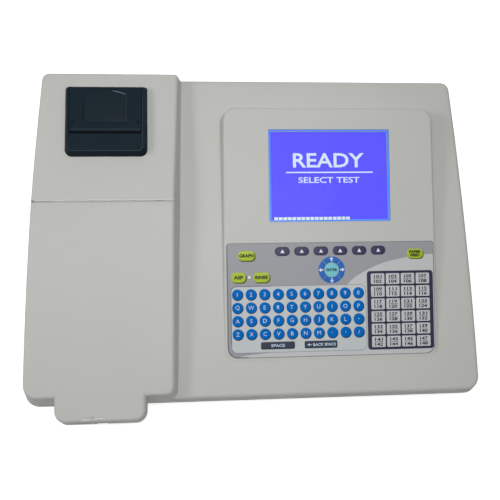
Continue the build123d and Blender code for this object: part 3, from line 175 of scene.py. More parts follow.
def surface(name, colour, rough=0.5, metal=0.0, grain=1500, bump=0.15, height=0.00005,
            mottle=0.04, mottle_scale=18, specular=0.5, stretch=(1, 1, 1)):
    """Plastic, paint or metal: slow colour variation, fine grain in bump and roughness."""
    material, tree, shader = new_material(name)
    colours = mottled(tree, noise(tree, mottle_scale, 3), colour, mottle)
    tree.links.new(colours, shader.inputs["Base Color"])
    fine = noise(tree, grain, 2, 0.6, stretch)
    uneven = spread(tree, fine, rough - ROUGH_CHANGE, rough + ROUGH_CHANGE)
    tree.links.new(uneven, shader.inputs["Roughness"])
    if bump:
        relief = tree.nodes.new("ShaderNodeBump")
        relief.inputs["Strength"].default_value = bump
        relief.inputs["Distance"].default_value = height
        tree.links.new(fine, relief.inputs["Height"])
        tree.links.new(relief.outputs["Normal"], shader.inputs["Normal"])
    shader.inputs["Metallic"].default_value = metal
    shader.inputs["Specular IOR Level"].default_value = specular
    return material


def lit(name, colour, rough=0.25):
    """A lit display segment: its own light with a slight unevenness."""
    material, tree, shader = new_material(name)
    colours = mottled(tree, noise(tree, 30), colour, GLOW_CHANGE)
    tree.links.new(colours, shader.inputs["Emission Color"])
    shader.inputs["Base Color"].default_value = shade(colour, UNLIT_SHARE)
    shader.inputs["Specular IOR Level"].default_value = 0.1
    shader.inputs["Emission Strength"].default_value = 1.0
    shader.inputs["Roughness"].default_value = rough
    return material


def clear(name, colour, rough, ior):
    """Clear or tinted plastic and glass."""
    material, tree, shader = new_material(name)
    shader.inputs["Base Color"].default_value = colour
    shader.inputs["Transmission Weight"].default_value = 1.0
    shader.inputs["IOR"].default_value = ior
    tree.links.new(spread(tree, noise(tree, 60), rough, rough + 0.03), shader.inputs["Roughness"])
    return material


def film(name, colour, alpha, rough):
    """Thin clear window: mostly see-through, with a surface shine."""
    material, tree, shader = new_material(name)
    shader.inputs["Base Color"].default_value = colour
    shader.inputs["Alpha"].default_value = alpha
    shader.inputs["Specular IOR Level"].default_value = 0.2
    tree.links.new(spread(tree, noise(tree, 90), rough, rough + 0.04), shader.inputs["Roughness"])
    return material


SURFACES = {
    # the case
    "housing": ((191, 191, 187), dict(grain=2200, bump=0.22, height=0.00004, mottle=0.018,
                                      mottle_scale=9, specular=0.3)),
    "housing_base": ((170, 171, 165), dict(rough=0.55, grain=2200, bump=0.25)),
    # painted light: near white, for the lip in the shaded seam behind the lid
    "seam_painted_light": ((248, 249, 247), dict(rough=0.6, grain=2200, bump=0.05, mottle=0.01)),
    # painted glints and painted shade at the small notch in the nose
    "painted_glint_grey": ((214, 217, 216), dict(grain=2200, bump=0.1)),
    "painted_shade_grey": ((128, 130, 130), dict(grain=2200, bump=0.1)),
    "rubber": ((26, 26, 27), dict(rough=0.8, grain=900, bump=0.3, height=0.0001)),
    "screw": ((165, 165, 160), dict(rough=0.35, metal=1.0, grain=1400, bump=0.1)),
    # what is inside and behind
    "steel": ((190, 191, 192), dict(rough=0.25, metal=1.0, grain=900, bump=0.08,
                                    stretch=(0.1, 1, 1))),
    "bay_plastic": ((176, 178, 174), dict(grain=1800, bump=0.2)),
    "dark_plastic": ((38, 39, 42), dict(grain=1800, bump=0.25, mottle=0.1)),
    "white_plastic": ((198, 198, 193), dict(rough=0.45, grain=1600)),
    "motor": ((48, 48, 50), dict(rough=0.4, metal=0.5, grain=1200, mottle=0.1)),
    "anodised": ((58, 58, 61), dict(rough=0.42, metal=0.8, grain=2400, bump=0.12, mottle=0.08)),
    "filter_glass": ((150, 120, 175), dict(rough=0.08, metal=0.9, grain=300, bump=0.0,
                                           mottle=0.25)),
    "sheet_steel": ((178, 180, 182), dict(rough=0.38, metal=1.0, grain=700, bump=0.08,
                                          mottle=0.08, mottle_scale=60)),
    "board": ((22, 92, 52), dict(rough=0.35, grain=600, bump=0.2, height=0.0001, mottle=0.2,
                                 mottle_scale=140)),
    "rocker_black": ((18, 18, 19), dict(rough=0.25, bump=0.08)),
    # the printer
    "printer_plastic": ((15, 30, 39), dict(grain=2000, bump=0.3, mottle=0.1, specular=0.08)),
    "smoky_window": ((18, 33, 41), dict(rough=0.35, grain=200, bump=0.03, mottle_scale=12,
                                        specular=0.1)),
    # painted shade: the paper slot's opening, the door's dimples and the window's left edge
    "printer_painted_shade": ((4, 6, 8), dict(rough=0.7, grain=2000, bump=0.1, specular=0.05)),
    # painted highlights along the printer's edges and its lip
    "printer_painted_highlight": ((32, 47, 58), dict(grain=2000, bump=0.2, specular=0.3)),
    "glint": ((140, 150, 156), dict(rough=0.3, grain=900, bump=0.05)),
    "paper": ((226, 226, 220), dict(rough=0.75, grain=500, bump=0.1, mottle=0.03)),
}
KEYPAD_GRAIN = 2600
KEYPAD_PLASTICS = {
    # colour, roughness, bump, mottle, specular
    "overlay_grey": ((152, 153, 158), 0.42, 0.12, 0.015, 0.2),
    "overlay_light": ((195, 196, 197), 0.42, 0.12, 0.015, 0.2),
    "pane_light": ((193, 200, 200), 0.42, 0.1, 0.015, 0.2),
    # grey lines round the pane and the lamp, also the painted shade round the overlay
    "pane_line_and_painted_shade": ((112, 118, 126), 0.45, 0.05, 0.04, 0.2),
    "pane_navy": ((38, 41, 64), 0.4, 0.1, 0.05, 0.2),
    # painted shade along shaded edges
    "painted_edge_shade": ((108, 112, 120), 0.5, 0.05, 0.04, 0.12),
    "key_blue": ((0, 104, 188), 0.5, 0.1, 0.04, 0.05),
    "key_white": ((196, 200, 202), 0.38, 0.1, 0.02, 0.2),
    "key_cyan": ((118, 196, 208), 0.36, 0.1, 0.03, 0.2),
    "key_green": ((168, 192, 40), 0.36, 0.1, 0.04, 0.2),
    "key_dark": ((42, 49, 66), 0.38, 0.1, 0.05, 0.2),
    "key_navy": ((40, 43, 78), 0.36, 0.1, 0.05, 0.2),
    "ring_blue": ((0, 96, 182), 0.36, 0.1, 0.04, 0.2),
}
INKS_AND_PAINTED_SHADOWS = {
    # painted shadows under the raised keys
    "painted_shadow_blue": (12, 40, 84),
    "painted_shadow_green": (76, 86, 24),
    "painted_shadow_navy": (16, 18, 30),
    # inks
    "ink_dark": (38, 42, 52),
    "ink_pale": (196, 218, 238),
    "ink_white": (232, 236, 240),
    "ink_green": (24, 32, 12),
    "ink_teal": (14, 52, 74),
}
materials = {
    "tubing": clear("tubing", srgb(225, 222, 210), 0.25, 1.41),
    "lamp_glass": clear("lamp_glass", srgb(240, 238, 228), 0.03, 1.46),
    "lens": film("lens", srgb(235, 240, 248), 0.04, 0.08),
    "screen_blue": lit("screen_blue", srgb(68, 56, 255), 0.5),
    "glow": lit("glow", srgb(58, 134, 255)),
    "segment": lit("segment", srgb(206, 224, 244)),
    "segment_bar": lit("segment_bar", srgb(214, 232, 214)),
}
for name, (colour, settings) in SURFACES.items():
    materials[name] = surface(name, srgb(*colour), **settings)
for name, (colour, rough, bump, mottle, specular) in KEYPAD_PLASTICS.items():
    materials[name] = surface(name, srgb(*colour), rough, grain=KEYPAD_GRAIN, bump=bump,
                              mottle=mottle, specular=specular)
for name, colour in INKS_AND_PAINTED_SHADOWS.items():
    materials[name] = surface(name, srgb(*colour), grain=KEYPAD_GRAIN, bump=0.0, specular=0.12)
for part in frame["record"]["subparts"]:
    mesh = nodes[part["node"]].data
    mesh.materials.clear()
    mesh.materials.append(materials[part["material_slot"]])


# ---- Outlines, in millimetres of a face ----
def corner(x, y, radius, start, steps=8):
    """Quarter circle's points, counter-clockwise from an angle in degrees."""
    turns = [radians(start + 90 * step / steps) for step in range(steps + 1)]
    return [(x + radius * cos(a), y + radius * sin(a)) for a in turns]


def rectangle(left, low, right, high):
    """Corners of a rectangle."""
    return [(left, low), (right, low), (right, high), (left, high)]


def rounded(width, height, radius, centre=(0, 0)):
    """Rounded rectangle as a function of how far it is drawn in."""
    def outline(inset=0.0):
        r = max(radius - inset, 0.05)
        in_x, in_y = width / 2 - inset - r, height / 2 - inset - r
        points = []
        for turn, (sx, sy) in enumerate(((1, 1), (-1, 1), (-1, -1), (1, -1))):
            points += corner(centre[0] + sx * in_x, centre[1] + sy * in_y, r, 90 * turn, 6)
        return points
    return outline


def disc(radius, x=0.0, y=0.0, steps=40):
    """Circle as a function of how far it is drawn in."""
    def outline(inset=0.0):
        turns = [2 * pi * i / steps for i in range(steps)]
        r = radius - inset
        return [(x + r * cos(a), y + r * sin(a)) for a in turns]
    return outline


def sector(inner, outer, split, turn, x, y):
    """Quarter of a ring with parallel-sided gaps, as a function of how far it is drawn in."""
    steps = 14

    def outline(inset=0.0):
        shift = split / sqrt(2) + inset * sqrt(2)
        points = []
        for radius, way in ((outer - inset, 1), (inner + inset, -1)):
            reach = acos(shift / (radius * sqrt(2))) - pi / 4
            for step in range(steps + 1):
                a = turn + way * reach * (2 * step / steps - 1)
                points.append((x + radius * cos(a), y + radius * sin(a)))
        return points
    return outline


def strip(line, width):
    """Closed outline of a thin strip along a line of points."""
    sides = ([], [])
    for i, point in enumerate(line):
        before, after = Vector(line[max(i - 1, 0)]), Vector(line[min(i + 1, len(line) - 1)])
        across = (after - before).normalized().orthogonal() * width / 2
        sides[0].append(tuple(Vector(point) + across))
        sides[1].append(tuple(Vector(point) - across))
    return sides[0] + sides[1][::-1]


def smooth_line(points):
    """Points along a smooth line through the given ones."""
    steps = 6
    made = []
    for i in range(len(points) - 1):
        p0 = Vector(points[max(i - 1, 0)])
        p1, p2 = Vector(points[i]), Vector(points[i + 1])
        p3 = Vector(points[min(i + 2, len(points) - 1)])
        for step in range(steps):
            t = step / steps
            made.append(tuple(0.5 * (2 * p1 + (p2 - p0) * t
                                     + (2 * p0 - 5 * p1 + 4 * p2 - p3) * t * t
                                     + (3 * p1 - p0 - 3 * p2 + p3) * t ** 3)))
    return made + [tuple(points[-1])]


# ---- Mesh pieces ----
SHARP = radians(40)


def finish(name, bm, body, material, solid=True, smooth=False, replaced=()):
    """Make a piece of what was drawn, with its finish and the body that it rides on."""
    if solid:
        bmesh.ops.recalc_face_normals(bm, faces=bm.faces)
    mesh = bpy.data.meshes.new(name)
    bm.to_mesh(mesh)
    bm.free()
    obj = bpy.data.objects.new(name, mesh)
    bpy.context.collection.objects.link(obj)
    mesh.materials.append(materials[material])
    for face in mesh.polygons:
        face.use_smooth = smooth
    if smooth:
        mesh.set_sharp_from_angle(angle=SHARP)
    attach(obj, body)
    if replaced:
        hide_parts(*replaced)


def add_ring(bm, points, z, face):
    """Vertices of an outline at a height over a face."""
    return [bm.verts.new(face @ Vector((x, y, z))) for x, y in points]


def bridge(bm, first, second):
    """Faces all the way round between two rings."""
    for i in range(len(first)):
        j = (i + 1) % len(first)
        bm.faces.new((first[i], first[j], second[j], second[i]))


def add_button(bm, outline, face, low, high, edge, crown):
    """Solid key: straight sides, a rounded upper edge and a flat or slightly crowned top."""
    rings = [(0.0, low), (0.0, high - edge)]
    for a in (pi / 8, pi / 4, 3 * pi / 8, pi / 2):
        rings.append((edge * (1 - cos(a)), high - edge + edge * sin(a)))
    made = [add_ring(bm, outline(inset), z, face) for inset, z in rings]
    for below, above in zip(made, made[1:]):
        bridge(bm, below, above)
    bm.faces.new(list(reversed(made[0])))
    top = made[-1]
    if crown:
        points = outline(edge)
        mid_x = sum(x for x, _ in points) / len(points)
        mid_y = sum(y for _, y in points) / len(points)
        for share in (0.7, 0.35):
            inner = [(mid_x + (x - mid_x) * share, mid_y + (y - mid_y) * share)
                     for x, y in points]
            ring = add_ring(bm, inner, high + crown * (1 - share ** 2), face)
            bridge(bm, top, ring)
            top = ring
    bm.faces.new(top)


def buttons(name, outlines, low, high, face, body, material, edge, crown=0.0, replaced=()):
    """Solid keys, lamps or windows with rounded upper edges."""
    bm = bmesh.new()
    for outline in outlines:
        add_button(bm, outline, face, low, high, edge, crown)
    finish(name, bm, body, material, smooth=True, replaced=replaced)


def panes(name, outlines, low, high, face, body, material):
    """Thin flat plates of any outline."""
    bm = bmesh.new()
    for points in outlines:
        lower = add_ring(bm, points, low, face)
        upper = add_ring(bm, points, high, face)
        bm.faces.new(list(reversed(lower)))
        bm.faces.new(upper)
        bridge(bm, lower, upper)
    finish(name, bm, body, material)


def band(name, outer, inner, low, high, face, body, material):
    """Closed frame between two outlines with the same number of points."""
    bm = bmesh.new()
    rings = [add_ring(bm, outer, low, face), add_ring(bm, outer, high, face),
             add_ring(bm, inner, high, face), add_ring(bm, inner, low, face)]
    for first, second in zip(rings, rings[1:] + rings[:1]):
        bridge(bm, first, second)
    finish(name, bm, body, material)


def add_word(bm, level, text, size, x, y, width=None, weight=0.0):
    """Flat lettering centred on a point of the console; width, if given, is its full width."""
    curve = bpy.data.curves.new("letters", "FONT")
    curve.body = text
    curve.size = size
    curve.resolution_u = 3
    curve.offset = weight
    holder = bpy.data.objects.new("letters", curve)
    mesh = bpy.data.meshes.new_from_object(holder)
    xs = [v.co.x for v in mesh.vertices]
    ys = [v.co.y for v in mesh.vertices]
    mid_x, mid_y = (min(xs) + max(xs)) / 2, (min(ys) + max(ys)) / 2
    squeeze = 1.0 if width is None else width / (max(xs) - min(xs))
    for vertex in mesh.vertices:
        flat = ((vertex.co.x - mid_x) * squeeze + x, vertex.co.y - mid_y + y, level)
        vertex.co = console @ Vector(flat)
    bm.from_mesh(mesh)
    bpy.data.objects.remove(holder)
    bpy.data.curves.remove(curve)
    bpy.data.meshes.remove(mesh)


def printed(name, level, body, material, shapes=(), words=()):
    """Ink on the console: flat shapes, and words as text, size, x, y, width and weight."""
    bm = bmesh.new()
    for word in words:
        add_word(bm, level, *word)
    for points in shapes:
        bm.faces.new(add_ring(bm, points, level, console))
    finish(name, bm, body, material, solid=False)


# ---- Keypad's overlay ----
OVERLAY_HALF = 104.0
OVERLAY_TOP, OVERLAY_BOTTOM = -67, -179      # from the display's middle
OVERLAY_THICKNESS = 0.78
TOP_RADIUS, BOTTOM_RADIUS = 3.0, 10.0
AREA_TOP = 0.02              # levels of the layers on the overlay, one over the other: print, and the painted shadows under the keys
PANE_TOP = 0.05
LINE_TOP = 0.06
SHADE_TOP = 0.08
TEST_SHADE_TOP = 0.09
LETTER_PANE = rounded(135.0, 65.4, 6, centre=(-33.2, -141.7))
TEST_PANE = rounded(67.5, 78.3, 3.2, centre=(69.25, -135.15))
SWEEP = ((103.7, -79.7), (94.6, -80.2), (77.9, -82.2), (68.1, -84.2), (53.0, -87.7),
         (37.9, -93.7), (28.0, -99.0), (22.8, -102.2), (15.7, -108.6))
LOWER_SWEEP = ((-30.0, -168.0), (-60.0, -174.0), (-86.0, -176.6), (-94.0, -178.7))


def overlay_outline(inset=0.0):
    """Overlay: small radii at the top, larger at the bottom."""
    half, top, bottom = OVERLAY_HALF - inset, OVERLAY_TOP - inset, OVERLAY_BOTTOM + inset
    points = []
    for turn, (sx, y, r) in enumerate(((1, top - TOP_RADIUS, TOP_RADIUS),
                                       (-1, top - TOP_RADIUS, TOP_RADIUS),
                                       (-1, bottom + BOTTOM_RADIUS, BOTTOM_RADIUS),
                                       (1, bottom + BOTTOM_RADIUS, BOTTOM_RADIUS))):
        points += corner(sx * (half - r), y, r, 90 * turn)
    return points


buttons("overlay_sheet", [overlay_outline], -OVERLAY_THICKNESS, 0.0, console, "case",
        "overlay_grey", edge=0.15, replaced=("keypad_overlay",))
# Painted shade: a thin dark band all round the overlay, where the recess that holds it lies in
# shadow.
band("overlay_edge_painted_shade", overlay_outline(-0.45), overlay_outline(0.1), -0.3, 0.04, console, "case",
     "pane_line_and_painted_shade")
# Painted shade: a darker strip along the overlay's left and lower left edges, where the recess
# round it is in shadow.
left_edge = [(-103.7, -70.0), (-103.7, -169.0)] + corner(-94.0, -169.0, 9.7, 180)
panes("overlay_left_painted_shade", [strip(left_edge + [(-84.0, -178.6)], 0.9)], 0.0, 0.03, console,
      "case", "painted_edge_shade")
lower_right = [p for p in overlay_outline(0.3) if p[0] > 60 and p[1] < -100]
light_area = smooth_line(SWEEP) + [(8.0, -118.0), (-10.0, -150.0)]
light_area += smooth_line(LOWER_SWEEP) + sorted(lower_right)
panes("overlay_light_area", [light_area], 0.0, AREA_TOP, console, "case", "overlay_light")

panes("letter_pane", [LETTER_PANE(0.35)], AREA_TOP, PANE_TOP, console, "case", "pane_light")
# Painted shade: a darker strip along the letter pane's left and upper left edges, as cast by its
# raised edge.
pane_left = [(-100.5, -166.0), (-100.5, -115.5)] + corner(-94.7, -115.0, 5.9, 90)[::-1]
panes("letter_pane_painted_shade", [strip(pane_left + [(-60.0, -109.2)], 0.8)], AREA_TOP, 0.055,
      console, "case", "painted_edge_shade")
band("letter_pane_line", LETTER_PANE(0.0), LETTER_PANE(0.4), AREA_TOP, LINE_TOP, console,
     "case", "pane_line_and_painted_shade")
panes("test_pane", [TEST_PANE()], AREA_TOP, LINE_TOP, console, "case", "pane_navy")


# ---- Keys ----
KEY_LOW, KEY_TOP = -2.3, 0.58
LEGEND = KEY_TOP + 0.16      # ink over a crowned key
FLAT_LEGEND = KEY_TOP + 0.04 # ink over a flat key
KEY_EDGE = 0.45              # rounding round the coloured keys
LETTERS = "1234567890" "QWERTYUIOP" "ASDFGHJKL-" "ZXCVBNM.'/"
LETTER_COLUMNS, LETTER_ROWS = 10, 4
LETTER_LEFT, LETTER_TOP = -94.2, -117.1      # middle of the first letter key
LETTER_PITCH_X, LETTER_PITCH_Y = 13.4, 12.97
LETTER_RADIUS = 5.3
# radius of the painted shadow under each letter key
LETTER_SHADE = 5.6
FIRST_TEST = 101
TEST_COLUMNS, TEST_ROWS = 4, 6
TEST_X, TEST_Y = 69.3, -135.2                # middle of the test keys
TEST_PITCH_X, TEST_PITCH_Y = 15.3, 12.5
TEST_WIDTH, TEST_HEIGHT = 13.8, 10.8
TEST_LINE_HALF = (4.6, 0.22)
SOFT_COUNT = 6
SOFT_X, SOFT_Y = -0.8, -75.2                 # middle of the soft-key row
SOFT_PITCH = 19.3
RING_Y = -94.1
RING_INNER, RING_OUTER, RING_SPLIT = 7.6, 13.2, 0.5
ENTER_RADIUS = 7.2
LED_X, LED_Y = -82.1, -100.2


def caps(name, outlines, body, colour, edge, crown, node):
    """Key caps that stand for a node of the solids."""
    buttons(name, outlines, KEY_LOW, KEY_TOP, console, body, colour, edge, crown, (node,))


letter_places = [(LETTER_LEFT + column * LETTER_PITCH_X, LETTER_TOP - row * LETTER_PITCH_Y)
                 for row in range(LETTER_ROWS) for column in range(LETTER_COLUMNS)]
# Painted shadows: darker blue discs under the letter keys, set off to the lower right, where each
# raised key would cast its shadow.
letter_painted_shadows = [disc(LETTER_SHADE, x + 0.4, y - 0.5)() for x, y in letter_places]
panes("letter_key_painted_shadows", letter_painted_shadows, PANE_TOP, SHADE_TOP, console, "case", "painted_shadow_blue")
caps("letter_key_caps", [disc(LETTER_RADIUS, x, y) for x, y in letter_places], "case",
     "key_blue", KEY_EDGE, 0.12, "letter_keys")
test_places = [(TEST_X + (column - (TEST_COLUMNS - 1) / 2) * TEST_PITCH_X,
                TEST_Y - (row - (TEST_ROWS - 1) / 2) * TEST_PITCH_Y)
               for row in range(TEST_ROWS) for column in range(TEST_COLUMNS)]
# Painted shadows: darker navy plates under the test keys, set off to the lower right, where each
# raised key would cast its shadow.
test_painted_shadows = [rounded(14.0, 11.0, 1.4, centre=(x + 0.15, y - 0.3))() for x, y in test_places]
panes("test_key_painted_shadows", test_painted_shadows, LINE_TOP, TEST_SHADE_TOP, console, "case", "painted_shadow_navy")
test_keys = [rounded(TEST_WIDTH, TEST_HEIGHT, 1.2, centre=place) for place in test_places]
caps("test_key_caps", test_keys, "case", "key_white", 0.3, 0.08, "test_keys")
printed("letter_legends", LEGEND, "case", "ink_pale",
        words=[(sign, 5.6, x, y) for sign, (x, y) in zip(LETTERS, letter_places)])
test_words = [(f"{FIRST_TEST + 2 * number + row}", 4.3, x, y + up, 8.0, 0.14)
              for number, (x, y) in enumerate(test_places)
              for row, up in enumerate((2.4, -2.5))]
half_x, half_y = TEST_LINE_HALF
printed("test_legends", LEGEND, "case", "ink_dark", words=test_words,
        shapes=[rectangle(x - half_x, y - half_y, x + half_x, y + half_y)
                for x, y in test_places])

FUNCTION_KEYS = {
    # x, y, width, height, key, ink, words, size, width of the words
    "graph_key": (-84.7, -79.0, 16.5, 9.8, "key_green", "ink_green", "GRAPH", 4.4, 14.2),
    "aspirate_key": (-92.8, -100.3, 14.4, 10.0, "key_green", "ink_green", "ASP", 4.4, 9.4),
    "rinse_key": (-70.1, -100.4, 15.8, 10.0, "key_green", "ink_green", "RINSE", 4.4, 12.6),
    "feed_key": (85.0, -79.0, 16.5, 9.5, "key_green", "ink_green", "PAPER\nFEED", 3.5, 12.0),
    "space_key": (-54.9, -167.6, 33.6, 7.3, "key_dark", "ink_pale", "SPACE", 3.8, 13.6),
    "backspace_key": (-12.0, -167.6, 32.9, 7.3, "key_dark", "ink_pale", "BACK SPACE", 3.8, 22.8),
}
FUNCTION_RADIUS, BAR_RADIUS = 4.4, 1.5
LINE_PITCH = 3.4
SECOND_LINE = 0.8            # width of a second line of words, as a share of the first
ARROW_ROOM = 3.4             # the backspace key's words stand this far right, for its arrow
for node, (x, y, width, height, colour, ink, words, size, reach) in FUNCTION_KEYS.items():
    green = colour == "key_green"
    radius = FUNCTION_RADIUS if green else BAR_RADIUS
    # Green keys get a painted shadow: a darker olive plate set off to the lower right, under the
    # key.
    if green:
        shadow = rounded(width + 0.3, height + 0.3, radius, centre=(x + 0.75, y - 0.85))
        panes(node + "_shade", [shadow()], PANE_TOP, SHADE_TOP, console, "case",
              "painted_shadow_green")
    caps(node + "_cap", [rounded(width, height, radius, centre=(x, y))], node, colour,
         KEY_EDGE, 0.1, node)
    arrow = []
    if node == "backspace_key":
        x += ARROW_ROOM
        left = x - reach / 2 - 1.4
        arrow = [rectangle(left - 2.2, y - 0.3, left, y + 0.3),
                 [(left - 2.0, y + 1.4), (left - 4.6, y), (left - 2.0, y - 1.4)]]
    lines = words.split("\n")
    legend = [(line, size, x, y + ((len(lines) - 1) / 2 - i) * LINE_PITCH,
               reach * (SECOND_LINE if i else 1), 0.2 if green else 0.08)
              for i, line in enumerate(lines)]
    printed(node + "_legend", LEGEND, node, ink, arrow, legend)

for number in range(SOFT_COUNT):
    x = SOFT_X + (number - (SOFT_COUNT - 1) / 2) * SOFT_PITCH
    node = f"soft_key_{number + 1}"
    caps(node + "_cap", [rounded(14.8, 9.0, 4.3, centre=(x, SOFT_Y))], node, "key_navy",
         KEY_EDGE, 0.1, node)
    printed(node + "_mark", LEGEND, node, "ink_white",
            [[(x - 2.0, SOFT_Y - 1.6), (x + 2.0, SOFT_Y - 1.6), (x, SOFT_Y + 2.0)]])

ARROW_KEYS = {"right_key": 0, "up_key": 90, "left_key": 180, "down_key": 270}
ARROW = ([(10.6, -2.0), (12.9, 0), (10.6, 2.0)], rectangle(8.4, -0.6, 10.6, 0.6))
for node, turn in ARROW_KEYS.items():
    a = radians(turn)
    quarter = sector(RING_INNER, RING_OUTER, RING_SPLIT, a, 0, RING_Y)
    caps(node + "_cap", [quarter], node, "ring_blue", 0.3, 0.0, node)
    turned = [[(p * cos(a) - q * sin(a), p * sin(a) + q * cos(a) + RING_Y) for p, q in points]
              for points in ARROW]
    printed(node + "_arrow", FLAT_LEGEND, node, "ink_white", turned)
caps("enter_key_cap", [disc(ENTER_RADIUS, 0, RING_Y, 48)], "enter_key", "key_cyan", 0.4,
     0.12, "enter_key")
printed("enter_key_legend", LEGEND, "enter_key", "ink_teal",
        words=[("ENTER", 3.6, 0, RING_Y, 11.2, 0.15)])

led = disc(1.6, LED_X, LED_Y, 28)
buttons("indicator_lamp", [led], -0.1, 0.25, console, "case", "ink_white",
        edge=0.2, crown=0.15)
band("indicator_ring", disc(1.95, LED_X, LED_Y, 28)(), led(), 0.0, 0.12, console, "case",
     "pane_line_and_painted_shade")


# ---- Near-white lip in the seam behind the lid: painted light that makes the shaded gap show pale ----
panes("seam_lip_painted_light", [rectangle(-211.3, 0.18, -79.5, -0.17)], -4.0, -0.15, seam_wall, "case",
      "seam_painted_light")


# ---- Painted glints and painted shade of a small notch at the nose's lower edge ----
# Painted glints: two light bars where the edges of the notch catch the light.
marks = [rounded(8.0, 1.2, 0.3, centre=(-163.3, -206.6))(),
         rounded(8.4, 1.2, 0.3, centre=(-151.4, -205.7))()]
panes("nose_painted_glints", marks, -0.2, 0.08, lid_face, "lid", "painted_glint_grey")
# Painted shade: the notch's dark V, and a thin shadow line above each glint.
notch = [[(-159.4, -205.6), (-157.4, -203.8), (-155.4, -205.3), (-157.4, -204.9)],
         strip([(-167.4, -205.8), (-159.3, -205.7)], 0.35),
         strip([(-155.5, -204.9), (-147.2, -204.8)], 0.35)]
panes("nose_notch_painted_shade", notch, -0.2, 0.05, lid_face, "lid", "painted_shade_grey")


# ---- Printer ----
DOOR_TOP = 8.0               # above the block, as the bezel
DOOR_FRONT = -12.6           # from the printer's middle
WINDOW_HALF = 20.5
WINDOW_FROM_FRONT = 8.7
WINDOW_SPRING = 24.9         # where the arch at the far end starts
WINDOW_RISE = 4.2            # of the arch


def window_outline(inset=0.0):
    """Door's window: square at the near end, arched at the far end."""
    half, rise, steps = WINDOW_HALF - inset, WINDOW_RISE, 24
    base, spring = DOOR_FRONT + WINDOW_FROM_FRONT + inset, WINDOW_SPRING - inset
    radius = (half * half + rise * rise) / (2 * rise)
    reach = atan(half / (radius - rise))
    points = [(-half, base), (half, base)]
    for step in range(steps + 1):
        a = pi / 2 - reach + 2 * reach * step / steps
        points.append((radius * cos(a), spring + rise - radius + radius * sin(a)))
    return points


buttons("window_pane", [window_outline], DOOR_TOP - 1.2, DOOR_TOP + 0.4, printer,
        "printer_door", "smoky_window", edge=0.5, replaced=("printer_window",))
arch = window_outline(0.4)[2:11]
glint = [(x - 0.1, y - 0.15 - 0.3 * sin(pi * i / 8)) for i, (x, y) in enumerate(arch)]
panes("window_glint", [arch + glint[::-1]], DOOR_TOP + 0.3, DOOR_TOP + 0.42, printer,
      "printer_door", "glint")
# Painted shade: a dark line along the window's left edge and the left part of its arch.
window_left_shade = strip([(-20.3, -3.0), (-20.3, 24.6), (-10, 27.5), (3, 28.9)], 0.35)
panes("window_edges_painted_shade", [window_left_shade], DOOR_TOP + 0.2, DOOR_TOP + 0.4, printer, "printer_door",
      "printer_painted_shade")
# Painted highlight: a light line along the window's right edge, where it catches the light.
far_edge_highlight = strip([(20.3, -3.0), (20.3, 24.0)], 0.3)
panes("window_far_edge_painted_highlight", [far_edge_highlight], DOOR_TOP + 0.2, DOOR_TOP + 0.41, printer, "printer_door",
      "printer_painted_highlight")
# Painted highlight: a lighter strip along the bezel's rounded front edge, where it catches the
# light.
rim = [(-35.6, -24.0)] + corner(-31.0, -27.0, 4.6, 180) + corner(31.0, -27.0, 4.6, 270)
panes("bezel_edge_painted_highlight", [strip(rim + [(35.6, 22.0)], 0.45)], DOOR_TOP - 0.1, DOOR_TOP + 0.03,
      printer, "case", "printer_painted_highlight")
# Painted shade: flat dark dots where two small dimples in the door lie in shadow.
dimples = [disc(1.0, side * 31.0, -3.6, 20)() for side in (-1, 1)]
panes("door_dimples_painted_shade", dimples, DOOR_TOP - 0.2, DOOR_TOP + 0.02, printer, "printer_door",
      "printer_painted_shade")
# Painted shade: a flat near-black strip for the shaded opening of the paper slot.
slot = rounded(67.0, 1.5, 0.3, centre=(0, DOOR_FRONT - 1.5))
panes("paper_slot_painted_shade", [slot()], DOOR_TOP - 0.3, DOOR_TOP + 0.03, printer, "case", "printer_painted_shade")
# A thin raised lip in front of the door, coloured lighter as a painted highlight along it.
lip = rounded(66.0, 0.5, 0.2, centre=(0, DOOR_FRONT + 2.2))
panes("door_ridge", [lip()], DOOR_TOP - 0.1, DOOR_TOP + 0.15, printer, "printer_door", "printer_painted_highlight")


# ---- Display ----
LENS_THICKNESS = 1.55
SCREEN_INK = -2.76           # level of what the screen shows, just over the lit screen
BAR_COUNT = 17
BAR_PITCH, BAR_WIDTH = 4.53, 3.7

buttons("display_window", [rounded(122.0, 92.0, 1.0)], -LENS_THICKNESS, 0.0, console, "case",
        "lens", edge=0.2, replaced=("display_lens",))
band("window_glow", rounded(121.4, 91.4, 1.0)(), rounded(117.8, 88.6, 0.4)(), -0.5, -0.42,
     console, "case", "glow")
printed("screen_words", SCREEN_INK, "case", "segment",
        [rectangle(-43.5, 2.8, 44.5, 4.1)],
        [("READY", 20.0, -0.4, 15.6, 72.0, 0.35), ("SELECT TEST", 8.0, -0.2, -4.2, 62.0, 0.12)])
bars = [-56 + step * BAR_PITCH for step in range(BAR_COUNT)]
printed("screen_bar", SCREEN_INK, "case", "segment_bar",
        [rectangle(x, -44.8, x + BAR_WIDTH, -41.2) for x in bars])


# ---- Floor and light (metres) ----
FLOOR_HALF = 6
FLOOR_COLOUR = (0.78, 0.78, 0.78, 1)
FLOOR_GLOW = 0.7                  # what the camera sees added, so that the floor is white
SKY_LOW, SKY_HIGH = 0.06, 0.23    # world's strength at the horizon and overhead
AIM = (0, 0, 0.06)                # all lamps point here
LAMPS = {
    # place, size, watts
    "key_light": ((-1.0, -0.1, 0.8), (0.3, 0.3), 4.0),
    "top_light": ((-0.03, -0.25, 0.96), (0.6, 0.3), 3.5),
    "near_light": ((0.06, -0.05, 0.65), (0.3, 0.3), 0.47),
    "fill_light": ((0.6, 0.0, 1.6), (1.2, 1.2), 0.3),
    "back_light": ((0.3, 1.2, 0.7), (0.8, 0.8), 2.5),
}


